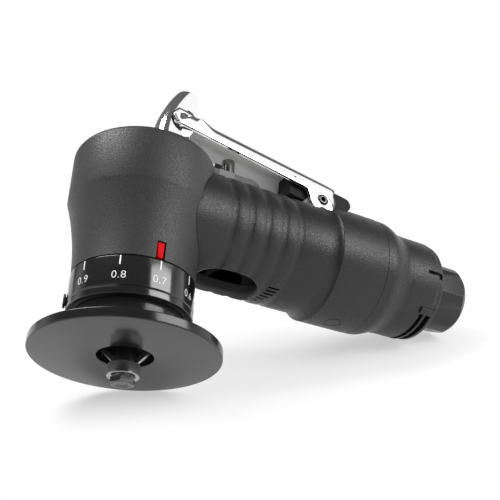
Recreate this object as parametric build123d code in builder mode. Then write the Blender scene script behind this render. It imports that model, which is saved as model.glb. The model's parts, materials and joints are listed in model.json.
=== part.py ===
import math
import os

from build123d import *

os.makedirs("parts", exist_ok=True)

# Air driven chamfering tool with a right angle head.
# Millimetres. Z runs up the cutter spindle, X runs back along the handle to the air inlet,
# and the origin is the middle of the guide disc's working face.

# Clearances
running_fit = 0.05
seat_gap = 0.03
free_gap = 0.3
parting = 0.1
overcut = 1.0
overlap = 0.5

# Guide disc, its sleeve and the depth ring
disc_radius = 30.0
disc_thickness = 3.2
disc_edge = 0.5
disc_bore = 8.85
sleeve_wall = 3.1
ring_wall = 2.4
ring_gap = 9.1
ring_height = 12.7
ring_groove = 2.55
ring_groove_depth = 0.35
ring_lip = 1.5
ring_edge = 0.3
ring_pitch = 1.0
depth_shown = 0.7
depth_most = 1.0

# Lock screw in the depth ring
lock_angle = 165.0
lock_height = 3.8
lock_shank = 1.5
lock_head = 2.4
lock_head_height = 0.9
lock_socket = 0.6
lock_socket_radius = 1.1
lock_edge = 0.25

# Spindle and its two bearings
spindle_radius = 4.0
spindle_top_radius = 3.0
spindle_collar = 2.0
spindle_edge = 0.4
lower_bearing_radius = 11.0
lower_bearing_width = 7.0
lower_bearing_lift = 5.4
upper_bearing_radius = 9.5
upper_bearing_width = 6.0
race_wall = 1.5
race_edge = 0.3
race_gap = 0.1

# Gear housing inside the head
spigot_wall = 3.4
spigot_lift = 2.4
housing_wall = 3.6
housing_roof = 1.7
bearing_stop = 1.6
neck_step = 1.9
gear_chamber = 13.6
chamber_floor = 10.9
clip_width = 1.0
clip_reach = 1.8
clip_depth = 0.55
clip_opening = 7.0
key_radius = 1.5
key_reach = 1.5
key_seat = 0.4
key_edge = 0.25
key_lift = 1.0

# Head casing
head_gap = 0.4
head_height = 45.9
head_foot_wall = 2.65
head_waist_radius = 21.0
head_radius = 24.2
head_crease = 25.2
head_crease_step = 0.35
head_crease_rise = 1.0
head_corner = 3.0
head_top_wall = 2.0

# Red pointer in the head's lower edge
pointer_angle = -87.5
pointer_width = 2.9
pointer_height = 5.4
pointer_depth = 1.8
pointer_edge = 0.2

# Bevel gears
gear_module = 1.0
pinion_teeth = 12
gear_teeth = 18
gear_face = 3.2
gear_hub_radius = 7.0
gear_hub_length = 3.6
pinion_hub_radius = 4.4
pinion_hub_length = 3.2
pinion_bore = 2.5
tooth_root = 1.1
tooth_tip = 0.75
tooth_root_half = 0.62
tooth_tip_half = 0.27
tooth_sink = 0.25
gear_rim = 0.6

# Cutter, guide bearing and its bolt
cutter_hub = 3.6
cutter_seat_radius = 3.0
cutter_flange = 7.6
cutter_flange_drop = 1.2
cutter_flange_height = 2.6
cutter_shank = 2.45
cutter_shank_length = 9.0
wing_thickness = 2.4
wing_foot = 0.9
wing_inset = 1.2
wing_shoulder = 0.6
insert_start_radius = 3.6
insert_start_z = -2.1
insert_angle = 151.0
insert_length = 6.0
insert_width = 1.6
insert_thickness = 1.6
roller_radius = 5.0
roller_bore = 2.0
roller_width = 4.0
roller_race_wall = 1.85
roller_top = -2.5
roller_seat_gap = 0.4
washer_thickness = 0.5
bolt_across_flats = 7.0
bolt_head_height = 2.0
bolt_length = 12.5
bolt_dish = 0.5
bolt_dish_radius = 2.3
bolt_dish_taper = 30.0
bolt_crown = 0.1
bolt_crown_slope = 0.3
bolt_end_gap = 1.0

# Handle and air motor
handle_height = 26.9
motor_front_gap = 0.4
motor_housing_wall = 1.9
motor_nose = 15.4
tunnel_radius = 5.5
cylinder_wall = 2.35
cylinder_radius = 11.6
cylinder_offset = 1.0
cylinder_length = 34.0
exhaust_hole = 1.6
end_plate = 4.0
rear_plate = 6.1
shaft_radius = 4.0
vane_count = 5
vane_thickness = 1.6
vane_depth = 4.6
motor_bearing_radius = 8.0
motor_bearing_width = 5.0
motor_race_wall = 1.3
bearing_shoulder = 0.8
pinion_bearing_gap = 3.4

# Grip, rear casing and collar
grip_wall = 3.25
grip_groove_count = 5
grip_groove_pitch = 6.4
grip_groove_start = 25.6
grip_groove_width = 3.0
grip_groove_depth = 0.4
grip_end = 65.4
rear_swell = 1.85
rear_slope = 1.5
rear_step = 0.2
seam_overhang = 2.4
seam_edge = 0.15
collar_inset = 0.12
collar_straight = 3.0
collar_fall = 9.0
collar_drop = 2.75
collar_neck = 1.0
vent_middle = 31.5
vent_half_length = 12.0
vent_half_width = 8.9
vent_pocket_half_length = 6.2
vent_pocket_half_width = 6.0
vent_pocket_roof = 8.2
slot_count = 9
slot_step = 5.2
slot_start = 45.2
slot_length = 4.4
slot_width = 0.6
slot_depth = 1.6

# Exhaust deflector, silencer and air inlet
deflector_length = 14.6
deflector_wall = 2.6
deflector_step = 0.45
deflector_step_start = 11.4
deflector_step_run = 0.8
deflector_back = 1.6
deflector_round = 1.2
port_half_angle = 37.0
port_narrow = 1.2
port_wide = 2.3
port_rib = 1.3
port_edge = 1.9
port_lip_angle = 5.5
port_lip_height = 0.45
port_lip_gap = 1.5
port_lip_reach = 0.9
notch_length = 6.8
notch_end = 1.0
notch_angle = -174.5
notch_width = 2.3
notch_depth = 0.6
silencer_length = 5.5
inlet_across_flats = 25.0
inlet_corner_radius = 13.4
inlet_length = 15.9
inlet_stub = 12.0
inlet_stub_inset = 1.5
inlet_turn = 22.8
inlet_thread_radius = 6.6
inlet_thread_depth = 14.0
inlet_passage = 4.0
inlet_edge = 0.6
screen_thickness = 0.8
screen_radius = 5.6
screen_sink = 0.3
screen_holes = 6
screen_hole = 0.9
collar_port_wall = 0.45
collar_port_count = 6

# Throttle valve
valve_x = 31.7
pad_half_width = 8.0
pad_round_x = 30.0
pad_rise = 4.8
valve_bushing_radius = 4.2
valve_bushing_length = 6.0
valve_chamber = 4.0
valve_chamber_depth = 14.0
stem_radius = 2.4
stem_rise = 10.0
poppet_radius = 3.3
poppet_length = 3.2
seal_wire = 0.55
spring_wire = 0.3
spring_radius = 2.5
spring_turns = 3

# Throttle lever, heel and pivot pin
pivot_x = 68.5
pivot_rise = 24.0
lever_tilt = 9.27
lever_width = 14.0
lever_sheet = 1.4
lever_bend = 1.9
lever_top = 8.7
lever_drop = 6.1
lever_brow = 0.85
lever_tail = 4.3
ear_radius = 4.5
ear_front = 7.7
pivot_pin_radius = 2.05
pivot_pin_bore = 1.1
pin_stand = 0.3
cheek_thickness = 0.7
cheek_gap = 0.2
cheek_radius = 4.3
cheek_front = 9.2
cheek_flare = 2.0
cheek_root = 1.5
cheek_rake = 0.4
cheek_shoulder = 0.6
heel_front = 14.2
heel_lean = 1.2
heel_top = 7.4
heel_floor = -2.3
heel_boss = 3.6
heel_tail_u = -10.7
heel_tail_radius = 2.85
relief_side = 0.6
relief_floor = 5.2
relief_back = 8.2
relief_front = 1.5

# Safety latch on the lever's nose
latch_u = 60.5
latch_v = 6.2
nose_radius = 3.4
nose_blend = 5.0
web_setback = 7.5
latch_pin_radius = 1.3
latch_sheet = 1.2
latch_side_gap = 0.2
latch_fold = 1.6
latch_eye = 2.9
latch_neck = 1.7
latch_cap_front = 1.1
latch_cap_top = 13.4
latch_cap_fall = 1.5
latch_cap_back = 5.6
latch_cap_lean = 1.6
latch_cap_waist = 8.0
latch_cap_tuck = 0.9
latch_cap_floor = 4.2
latch_cap_round = 2.0
latch_belly = 5.2
latch_belly_height = 3.0
latch_foot_front = 7.9
latch_foot_back = 0.5
latch_foot = 7.6
latch_room_x = 1.2
latch_room_drop = 0.9
latch_room = 5.2
latch_spring_wire = 0.4
latch_spring_radius = 2.25
latch_spring_turns = 4
latch_spring_side = 0.9
latch_leg_front = 2.6
latch_leg_back = 9.5

# Sizes that follow from the ones above
spigot_radius = lower_bearing_radius + spigot_wall
sleeve_bore = spigot_radius + running_fit
sleeve_radius = sleeve_bore + sleeve_wall
ring_bore = sleeve_radius + running_fit
ring_radius = ring_bore + ring_wall
ring_bottom = disc_thickness + ring_gap
ring_top = ring_bottom + ring_height
head_bottom = ring_top + head_gap
head_top = head_bottom + head_height
housing_radius = gear_chamber + housing_wall
head_foot_radius = housing_radius + running_fit + head_foot_wall
handle_z = head_bottom + handle_height
housing_top = head_top - head_top_wall
spigot_bottom = disc_thickness + spigot_lift
lower_bearing_z = disc_thickness + lower_bearing_lift
lower_bearing_top = lower_bearing_z + lower_bearing_width
chamber_z = head_bottom + chamber_floor
upper_bearing_z = housing_top - housing_roof - upper_bearing_width
lip_bottom = ring_top - ring_lip
clip_top = lip_bottom - free_gap
clip_bottom = clip_top - clip_width
depth_up = (depth_most - depth_shown) * ring_pitch
sleeve_top = clip_bottom - depth_up - free_gap
key_z = lower_bearing_top + key_radius + key_lift

gear_pitch_radius = gear_module * gear_teeth / 2
pinion_pitch_radius = gear_module * pinion_teeth / 2
cone_length = math.hypot(gear_pitch_radius, pinion_pitch_radius)
small_end = (cone_length - gear_face) / cone_length
pinion_root = tooth_root * gear_module * pinion_pitch_radius / cone_length
pinion_back = gear_pitch_radius + pinion_root + pinion_hub_length
pinion_bearing_start = pinion_back + pinion_bearing_gap

motor_front = head_radius + motor_front_gap
cylinder_outer = cylinder_radius + cylinder_offset + cylinder_wall
motor_bore = cylinder_outer + seat_gap
motor_radius = motor_bore + motor_housing_wall
plate_front = motor_front + motor_nose
cylinder_front = plate_front + end_plate
cylinder_back = cylinder_front + cylinder_length
plate_back = cylinder_back + rear_plate
rotor_radius = cylinder_radius - cylinder_offset - free_gap
grip_bore = motor_radius + running_fit
grip_radius = grip_bore + grip_wall
rear_radius = grip_radius + rear_swell
rear_start = grip_end + parting
seam = plate_back + seam_overhang
collar_start = seam + parting
collar_end = collar_start + collar_straight + collar_fall + collar_neck
collar_radius = rear_radius - collar_drop
deflector_start = collar_end + parting
deflector_end = deflector_start + deflector_length
inlet_start = deflector_end + parting
inlet_end = inlet_start + inlet_length
neck_radius = motor_radius - neck_step
pad_top = handle_z + motor_radius + pad_rise

pivot_z = handle_z + pivot_rise
lever_half = lever_width / 2
lever_inside = lever_half - lever_sheet
cheek_outer = lever_inside - cheek_gap
cheek_inner = cheek_outer - cheek_thickness
heel_half = cheek_inner - cheek_gap
lever_reach = latch_u - web_setback
web_under = lever_top - lever_sheet
flange_low = lever_top - lever_drop
relief_half = lever_half + relief_side
relief_z = pivot_z - relief_floor
cheek_start = pivot_x - cheek_front
cheek_end = pivot_x + cheek_radius + cheek_flare
relief_start = cheek_start - relief_front

# The handle's own axes, and the lever's at rest: u forward along the lever, v up from it.
handle_plane = Plane(origin=(0, 0, handle_z), x_dir=(0, 1, 0), z_dir=(1, 0, 0))
handle_axis = Axis((0, 0, handle_z), (1, 0, 0))
tilt = math.radians(lever_tilt)
lever_plane = Plane(
    origin=(pivot_x, 0, pivot_z),
    x_dir=(-math.cos(tilt), 0, math.sin(tilt)),
    z_dir=(0, 1, 0),
)
latch_origin = lever_plane.from_local_coords((latch_u, latch_v, 0))
latch_plane = Plane(origin=latch_origin, x_dir=(1, 0, 0), z_dir=(0, -1, 0))


def rod_x(radius, start, end, mode=Mode.ADD):
    """A cylinder on the handle's axis, for use inside a part built on the handle plane."""
    with Locations((0, 0, start)):
        Cylinder(radius, end - start, align=(Align.CENTER, Align.CENTER, Align.MIN), mode=mode)


def rod_z(radius, start, end, mode=Mode.ADD):
    """A cylinder on the spindle's axis."""
    with Locations((0, 0, start)):
        Cylinder(radius, end - start, align=(Align.CENTER, Align.CENTER, Align.MIN), mode=mode)


def head_outline(swell, top):
    """Half outline of the head casing, swollen outward and carried up to a flat top."""
    with BuildSketch(Plane.XZ) as outline:
        with BuildLine():
            waist = head_bottom + head_crease / 2
            crease = head_bottom + head_crease
            Line((0, head_bottom), (head_foot_radius + swell, head_bottom))
            ThreePointArc(
                (head_foot_radius + swell, head_bottom),
                (head_waist_radius + swell, waist),
                (head_radius - head_crease_step + swell, crease),
            )
            Line((head_radius - head_crease_step + swell, crease), (head_radius + swell, crease + head_crease_rise))
            Line((head_radius + swell, crease + head_crease_rise), (head_radius + swell, top))
            Line((head_radius + swell, top), (0, top))
            Line((0, top), (0, head_bottom))
        make_face()
    return outline.sketch


def handle_sector(start, length, inner, outer, first, last, mode):
    """Part of a ring round the handle, between two angles counted from +Y towards +Z."""
    swing = math.radians(first)
    across = Vector(0, -math.sin(swing), math.cos(swing))
    with BuildSketch(Plane(origin=(0, 0, handle_z), x_dir=(1, 0, 0), z_dir=across)) as profile:
        with Locations((start, inner)):
            Rectangle(length, outer - inner, align=Align.MIN)
    revolve(profile.sketch, axis=handle_axis, revolution_arc=last - first, mode=mode)


def coil_arcs(radius, rise, turns):
    """A helix on Z as two tangent arcs for each quarter turn: start, direction and end of each arc."""
    slope = rise / (2 * math.pi * radius)
    points = []
    directions = []
    for i in range(4 * turns + 1):
        swing = math.pi / 2 * i
        points.append(Vector(radius * math.cos(swing), radius * math.sin(swing), rise * i / 4))
        directions.append(Vector(-math.sin(swing), math.cos(swing), slope).normalized())
    arcs = []
    for i in range(4 * turns):
        span = points[i + 1] - points[i]
        turn = 2 * (1 - directions[i].dot(directions[i + 1]))
        lean = 2 * span.dot(directions[i] + directions[i + 1])
        reach = (-lean + math.sqrt(lean * lean + 4 * turn * span.dot(span))) / (2 * turn)
        corner = points[i + 1] - directions[i + 1] * reach
        middle = (points[i] + directions[i] * reach + corner) * 0.5
        arcs.append((points[i], directions[i], middle))
        arcs.append((middle, (corner - middle).normalized(), points[i + 1]))
    return arcs


def self_gap(path, wire, half_turn):
    """Least gap between stretches of a wound wire that are at least half a turn apart along it."""
    count = 240
    spots = [path.position_at(i / count) for i in range(count + 1)]
    apart = max(2, math.ceil(half_turn / path.length * count))
    least = path.length
    for i in range(count + 1):
        for j in range(i + apart, count + 1):
            least = min(least, (spots[j] - spots[i]).length)
    return least - 2 * wire


# Guide disc with its threaded sleeve
with BuildPart() as guide_disc:
    with BuildSketch(Plane.XZ):
        with BuildLine():
            Polyline(
                (disc_bore, 0),
                (disc_radius - disc_edge, 0),
                (disc_radius, disc_edge),
                (disc_radius, disc_thickness - disc_edge),
                (disc_radius - disc_edge, disc_thickness),
                (sleeve_radius, disc_thickness),
                (sleeve_radius, sleeve_top),
                (sleeve_bore, sleeve_top),
                (sleeve_bore, disc_thickness),
                (disc_bore, disc_thickness),
                close=True,
            )
        make_face()
    revolve(axis=Axis.Z)
    slot_floor = key_z - key_radius - depth_up - 2 * free_gap
    with Locations((0, sleeve_bore, slot_floor)):
        Box(
            2 * (key_radius + running_fit),
            2 * (key_reach + free_gap),
            sleeve_top - slot_floor + overcut,
            align=(Align.CENTER, Align.CENTER, Align.MIN),
            mode=Mode.SUBTRACT,
        )
guide_disc.part.label = "guide_disc"
export_step(guide_disc.part, "parts/guide_disc.step")

# Depth ring, held to turn on the spigot, with the thread that drives the sleeve
lock_direction = Vector(1, 0, 0).rotate(Axis.Z, lock_angle)
lock_plane = Plane(origin=(0, 0, ring_bottom + lock_height), z_dir=lock_direction)
with BuildPart() as depth_ring:
    groove_z = ring_bottom + ring_groove
    with BuildSketch(Plane.XZ):
        with BuildLine():
            Polyline(
                (ring_bore, ring_bottom),
                (ring_radius - ring_edge, ring_bottom),
                (ring_radius, ring_bottom + ring_edge),
                (ring_radius, groove_z - ring_groove_depth),
                (ring_radius - ring_groove_depth, groove_z),
                (ring_radius, groove_z + ring_groove_depth),
                (ring_radius, ring_top - ring_edge),
                (ring_radius - ring_edge, ring_top),
                (spigot_radius + running_fit, ring_top),
                (spigot_radius + running_fit, lip_bottom),
                (ring_bore, lip_bottom),
                close=True,
            )
        make_face()
    revolve(axis=Axis.Z)
    with BuildSketch(lock_plane):
        Circle(lock_shank + running_fit)
    extrude(amount=ring_radius + overcut, mode=Mode.SUBTRACT)
depth_ring.part.label = "depth_ring"
export_step(depth_ring.part, "parts/depth_ring.step")

# Lock screw with a socket head
with BuildPart() as lock_screw:
    with BuildSketch(lock_plane.offset(ring_bore + free_gap)):
        Circle(lock_shank)
    extrude(amount=ring_wall)
    with BuildSketch(lock_plane.offset(ring_radius + free_gap)):
        Circle(lock_head)
    extrude(amount=lock_head_height)
    chamfer(lock_screw.faces().sort_by(Axis((0, 0, 0), lock_direction))[-1].edges(), lock_edge)
    with BuildSketch(lock_plane.offset(ring_radius + free_gap + lock_head_height - lock_socket)):
        RegularPolygon(lock_socket_radius, 6)
    extrude(amount=lock_socket + overcut, mode=Mode.SUBTRACT)
lock_screw.part.label = "lock_screw"
export_step(lock_screw.part, "parts/lock_screw.step")

# Circlip that keeps the depth ring on the spigot
with BuildPart() as ring_clip:
    rod_z(spigot_radius + clip_reach, clip_bottom, clip_top)
    rod_z(spigot_radius - clip_depth + seat_gap, clip_bottom, clip_top, Mode.SUBTRACT)
    with Locations((-spigot_radius, 0, clip_bottom)):
        Box(4 * clip_reach, clip_opening, 4 * clip_width, mode=Mode.SUBTRACT)
ring_clip.part.label = "ring_clip"
export_step(ring_clip.part, "parts/ring_clip.step")

# Key pin that stops the guide sleeve turning
with BuildPart() as guide_key:
    key_inner = spigot_radius - spigot_wall + key_seat
    with BuildSketch(Plane(origin=(0, key_inner, key_z), z_dir=(0, 1, 0))):
        Circle(key_radius)
    extrude(amount=sleeve_bore + key_reach - key_inner)
    chamfer(guide_key.edges().filter_by(GeomType.CIRCLE), key_edge)
guide_key.part.label = "guide_key"
export_step(guide_key.part, "parts/guide_key.step")

# Gear housing: spigot, gear chamber and the neck towards the motor
with BuildPart() as gear_housing:
    with BuildSketch(Plane.XZ):
        with BuildLine():
            Polyline(
                (0, spigot_bottom),
                (spigot_radius, spigot_bottom),
                (spigot_radius, clip_bottom - seat_gap),
                (spigot_radius - clip_depth, clip_bottom - seat_gap),
                (spigot_radius - clip_depth, clip_top + seat_gap),
                (spigot_radius, clip_top + seat_gap),
                (spigot_radius, head_bottom),
                (housing_radius, head_bottom),
                (housing_radius, housing_top),
                (0, housing_top),
                close=True,
            )
        make_face()
    revolve(axis=Axis.Z)
    with BuildSketch(handle_plane):
        Circle(neck_radius)
    extrude(amount=motor_front)
    with BuildSketch(Plane.XZ):
        with BuildLine():
            Polyline(
                (0, spigot_bottom - overcut),
                (lower_bearing_radius + seat_gap, spigot_bottom - overcut),
                (lower_bearing_radius + seat_gap, lower_bearing_top),
                (lower_bearing_radius - bearing_stop, lower_bearing_top),
                (lower_bearing_radius - bearing_stop, chamber_z),
                (gear_chamber, chamber_z),
                (gear_chamber, upper_bearing_z),
                (upper_bearing_radius + seat_gap, upper_bearing_z),
                (upper_bearing_radius + seat_gap, upper_bearing_z + upper_bearing_width),
                (0, upper_bearing_z + upper_bearing_width),
                close=True,
            )
        make_face()
    revolve(axis=Axis.Z, mode=Mode.SUBTRACT)
    with BuildSketch(handle_plane):
        Circle(motor_bearing_radius - bearing_shoulder)
    extrude(amount=motor_front + overcut, mode=Mode.SUBTRACT)
    with BuildSketch(handle_plane.offset(pinion_bearing_start)):
        Circle(motor_bearing_radius + seat_gap)
    extrude(amount=motor_front, mode=Mode.SUBTRACT)
    with BuildSketch(Plane(origin=(0, 0, key_z), z_dir=(0, 1, 0))):
        Circle(key_radius + seat_gap)
    extrude(amount=spigot_radius + overcut, mode=Mode.SUBTRACT)
gear_housing.part.label = "gear_housing"
export_step(gear_housing.part, "parts/gear_housing.step")

# Head casing over the gear housing, with the pointer's notch in its lower edge
pointer_direction = Vector(1, 0, 0).rotate(Axis.Z, pointer_angle)
pointer_plane = Plane(origin=(0, 0, head_bottom), x_dir=pointer_direction, z_dir=(0, 0, 1))
with BuildPart() as head_casing:
    add(head_outline(0, head_top))
    revolve(axis=Axis.Z)
    fillet(head_casing.faces().sort_by(Axis.Z)[-1].edges(), head_corner)
    rod_z(housing_radius + running_fit, head_bottom - overcut, housing_top + running_fit, Mode.SUBTRACT)
    with BuildSketch(handle_plane):
        Circle(neck_radius + running_fit)
    extrude(amount=2 * head_radius, mode=Mode.SUBTRACT)
    with BuildSketch(pointer_plane.offset(-overcut)):
        with Locations((head_foot_radius - pointer_depth, 0)):
            Rectangle(head_foot_radius, pointer_width + 2 * running_fit, align=(Align.MIN, Align.CENTER))
    extrude(amount=overcut + head_gap + pointer_height + running_fit, mode=Mode.SUBTRACT)
head_casing.part.label = "head_casing"
export_step(head_casing.part, "parts/head_casing.step")

# Red pointer
with BuildPart() as pointer:
    with BuildSketch(pointer_plane.offset(head_gap)):
        with Locations((head_foot_radius + running_fit, 0)):
            Rectangle(pointer_depth, pointer_width, align=(Align.MAX, Align.CENTER))
    extrude(amount=pointer_height)
    chamfer(pointer.edges().filter_by(Axis.Z).sort_by(SortBy.DISTANCE)[-2:], pointer_edge)
pointer.part.label = "pointer"
export_step(pointer.part, "parts/pointer.step")


def race(plane, inner, outer, start, width):
    """One ring of a ball bearing, with its corners broken."""
    with BuildPart(plane) as ring:
        with Locations((0, 0, start)):
            Cylinder(outer, width, align=(Align.CENTER, Align.CENTER, Align.MIN))
            Cylinder(inner, width, align=(Align.CENTER, Align.CENTER, Align.MIN), mode=Mode.SUBTRACT)
        chamfer(ring.edges().filter_by(GeomType.CIRCLE), race_edge)
    return ring


spindle_race = spindle_radius + race_wall
upper_race = spindle_top_radius + race_wall
motor_race = shaft_radius + motor_race_wall
roller_race = roller_radius - roller_race_wall
rotor_bearing_start = plate_back - motor_bearing_width
roller_bottom = roller_top - roller_width
bearings = {
    "lower_bearing": (Plane.XY, lower_bearing_z, lower_bearing_width),
    "upper_bearing": (Plane.XY, upper_bearing_z, upper_bearing_width),
    "pinion_bearing": (handle_plane, pinion_bearing_start, motor_bearing_width),
    "rotor_bearing": (handle_plane, rotor_bearing_start, motor_bearing_width),
    "guide_roller": (Plane.XY, roller_bottom, roller_width),
}
bearing_radii = {
    "lower_bearing": (spindle_radius, spindle_race, lower_bearing_radius),
    "upper_bearing": (spindle_top_radius, upper_race, upper_bearing_radius),
    "pinion_bearing": (shaft_radius, motor_race, motor_bearing_radius),
    "rotor_bearing": (shaft_radius, motor_race, motor_bearing_radius),
    "guide_roller": (roller_bore, roller_race, roller_radius),
}
for name, (plane, start, width) in bearings.items():
    bore, gap_radius, outer = bearing_radii[name]
    inner_race = race(plane, bore + seat_gap, gap_radius, start, width)
    inner_race.part.label = name + "_inner"
    export_step(inner_race.part, "parts/" + name + "_inner.step")
    outer_race = race(plane, gap_radius + race_gap, outer, start, width)
    outer_race.part.label = name + "_outer"
    export_step(outer_race.part, "parts/" + name + "_outer.step")

# Spindle
spindle_bottom = disc_thickness + cutter_flange_drop + cutter_flange_height + running_fit
with BuildPart() as spindle:
    rod_z(spindle_radius, spindle_bottom, upper_bearing_z)
    rod_z(spindle_top_radius, upper_bearing_z - overlap, upper_bearing_z + upper_bearing_width - free_gap)
    rod_z(spindle_race, lower_bearing_top, lower_bearing_top + spindle_collar)
    socket_top = spindle_bottom + cutter_shank_length + free_gap
    rod_z(cutter_shank + seat_gap, spindle_bottom - overcut, socket_top, Mode.SUBTRACT)
    chamfer(spindle.edges().filter_by(GeomType.CIRCLE).sort_by(Axis.Z)[-1], spindle_edge)
spindle.part.label = "spindle"
export_step(spindle.part, "parts/spindle.step")


def bevel(axial, pitch_radius, teeth, bore, hub_radius, hub_length, turn):
    """A straight bevel gear on Z whose pitch cone has its tip at the origin, above the gear."""
    angle = math.atan2(pitch_radius, axial)
    along = Vector(math.sin(angle), 0, -math.cos(angle))
    outward = Vector(math.cos(angle), 0, math.sin(angle))
    root_depth = tooth_root * gear_module
    sections = []
    for share in (1.0, small_end):
        size = gear_module * share
        centre = along * (cone_length * share)
        plane = Plane(origin=centre, x_dir=(0, 1, 0), z_dir=along)
        up = 1 if plane.y_dir.dot(outward) > 0 else -1
        with BuildSketch(plane) as section:
            Polygon(
                (tooth_root_half * size, -up * (root_depth + tooth_sink) * share),
                (tooth_tip_half * size, up * tooth_tip * size),
                (-tooth_tip_half * size, up * tooth_tip * size),
                (-tooth_root_half * size, -up * (root_depth + tooth_sink) * share),
                align=None,
            )
        sections.append(section.sketch.faces()[0])
    with BuildPart() as tooth:
        loft(sections)
    big = along * cone_length - outward * root_depth
    little = along * (cone_length * small_end) - outward * (root_depth * small_end)
    with BuildPart() as blank:
        with BuildSketch(Plane.XZ):
            with BuildLine():
                Polyline(
                    (bore, big.Z - hub_length),
                    (hub_radius, big.Z - hub_length),
                    (hub_radius, big.Z - gear_rim),
                    (big.X, big.Z - gear_rim),
                    (big.X, big.Z),
                    (little.X, little.Z),
                    (bore, little.Z),
                    close=True,
                )
            make_face()
        revolve(axis=Axis.Z)
        with PolarLocations(0, teeth, start_angle=turn):
            add(tooth.part)
        Cylinder(bore, 6 * cone_length, mode=Mode.SUBTRACT)
    return blank.part


# Bevel gear on the spindle and pinion on the motor shaft, in mesh on the handle side
bevel_gear = bevel(
    pinion_pitch_radius,
    gear_pitch_radius,
    gear_teeth,
    spindle_radius + seat_gap,
    gear_hub_radius,
    gear_hub_length,
    0,
).moved(Location((0, 0, handle_z)))
bevel_gear.label = "bevel_gear"
export_step(bevel_gear, "parts/bevel_gear.step")

bevel_pinion = bevel(
    gear_pitch_radius,
    pinion_pitch_radius,
    pinion_teeth,
    pinion_bore + seat_gap,
    pinion_hub_radius,
    pinion_hub_length,
    180 / pinion_teeth,
).moved(Location((0, 0, handle_z), (0, -90, 0)))
bevel_pinion.label = "bevel_pinion"
export_step(bevel_pinion, "parts/bevel_pinion.step")

# Cutter body: hub, two wings behind the inserts, flange and shank
wing_top = disc_thickness + cutter_flange_drop
edge_start = Vector(insert_start_radius, 0, insert_start_z)
edge_run = insert_length * math.sqrt(0.5)


def insert_sketch(grow):
    """The insert seen along its thickness: its outer long side is the cutting edge at 45 degrees."""
    with BuildSketch(Plane.XZ) as outline:
        low = (edge_start.X, edge_start.Z)
        high = (edge_start.X + edge_run, edge_start.Z + edge_run)
        back = insert_width * math.sqrt(0.5)
        Polygon(
            low,
            high,
            (high[0] - back, high[1] + back),
            (low[0] - back, low[1] + back),
            align=None,
        )
        if grow:
            offset(amount=grow, kind=Kind.INTERSECTION)
    return outline.sketch


with BuildPart() as cutter_body:
    rod_z(cutter_seat_radius, roller_top, roller_top + roller_seat_gap + overlap)
    rod_z(cutter_hub, roller_top + roller_seat_gap, wing_top + overlap)
    rod_z(cutter_flange, wing_top, wing_top + cutter_flange_height)
    rod_z(cutter_shank, wing_top + overlap, wing_top + cutter_flange_height + cutter_shank_length)
    with BuildSketch(Plane.XZ):
        with BuildLine():
            Polyline(
                (0, edge_start.Z + wing_foot),
                (edge_start.X - wing_foot, edge_start.Z + wing_foot),
                (edge_start.X + edge_run - wing_inset, edge_start.Z + edge_run + wing_shoulder),
                (edge_start.X + edge_run - wing_inset, wing_top + overlap),
                (0, wing_top + overlap),
                close=True,
            )
        make_face()
    with PolarLocations(0, 2):
        extrude(amount=wing_thickness)
    insert_room = extrude(insert_sketch(seat_gap), amount=-cutter_flange, mode=Mode.PRIVATE)
    with PolarLocations(0, 2):
        add(insert_room, mode=Mode.SUBTRACT)
    rod_z(roller_bore + seat_gap, roller_top - overcut, roller_top + bolt_length, Mode.SUBTRACT)
cutter_part = cutter_body.part.rotate(Axis.Z, insert_angle)
cutter_part.label = "cutter_body"
export_step(cutter_part, "parts/cutter_body.step")

# Two carbide inserts
with BuildPart() as cutter_inserts:
    with PolarLocations(0, 2):
        add(extrude(insert_sketch(0), amount=-insert_thickness, mode=Mode.PRIVATE))
inserts_part = cutter_inserts.part.rotate(Axis.Z, insert_angle)
inserts_part.label = "cutter_inserts"
export_step(inserts_part, "parts/cutter_inserts.step")

# Washer and hexagon bolt that hold the guide roller
washer_top = roller_top - roller_width
with BuildPart() as bolt_washer:
    rod_z(cutter_seat_radius, washer_top - washer_thickness, washer_top)
    rod_z(roller_bore + seat_gap, washer_top - overcut, washer_top + overcut, Mode.SUBTRACT)
bolt_washer.part.label = "bolt_washer"
export_step(bolt_washer.part, "parts/bolt_washer.step")

bolt_seat = washer_top - washer_thickness
with BuildPart() as guide_bolt:
    with BuildSketch(Plane.XY.offset(bolt_seat)):
        RegularPolygon(bolt_across_flats / 2, 6, major_radius=False)
    extrude(amount=-bolt_head_height)
    with BuildSketch(Plane.XZ):
        with BuildLine():
            Polyline(
                (bolt_across_flats / 2 - bolt_crown, bolt_seat - bolt_head_height),
                (bolt_across_flats, bolt_seat - bolt_head_height),
                (bolt_across_flats, bolt_seat - bolt_head_height + bolt_across_flats * bolt_crown_slope),
                close=True,
            )
        make_face()
    revolve(axis=Axis.Z, mode=Mode.SUBTRACT)
    with BuildSketch(Plane.XY.offset(bolt_seat - bolt_head_height)):
        Circle(bolt_dish_radius)
    extrude(amount=bolt_dish, taper=bolt_dish_taper, mode=Mode.SUBTRACT)
    rod_z(roller_bore, bolt_seat, roller_top + bolt_length - bolt_end_gap)
guide_bolt.part.label = "guide_bolt"
export_step(guide_bolt.part, "parts/guide_bolt.step")

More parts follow.
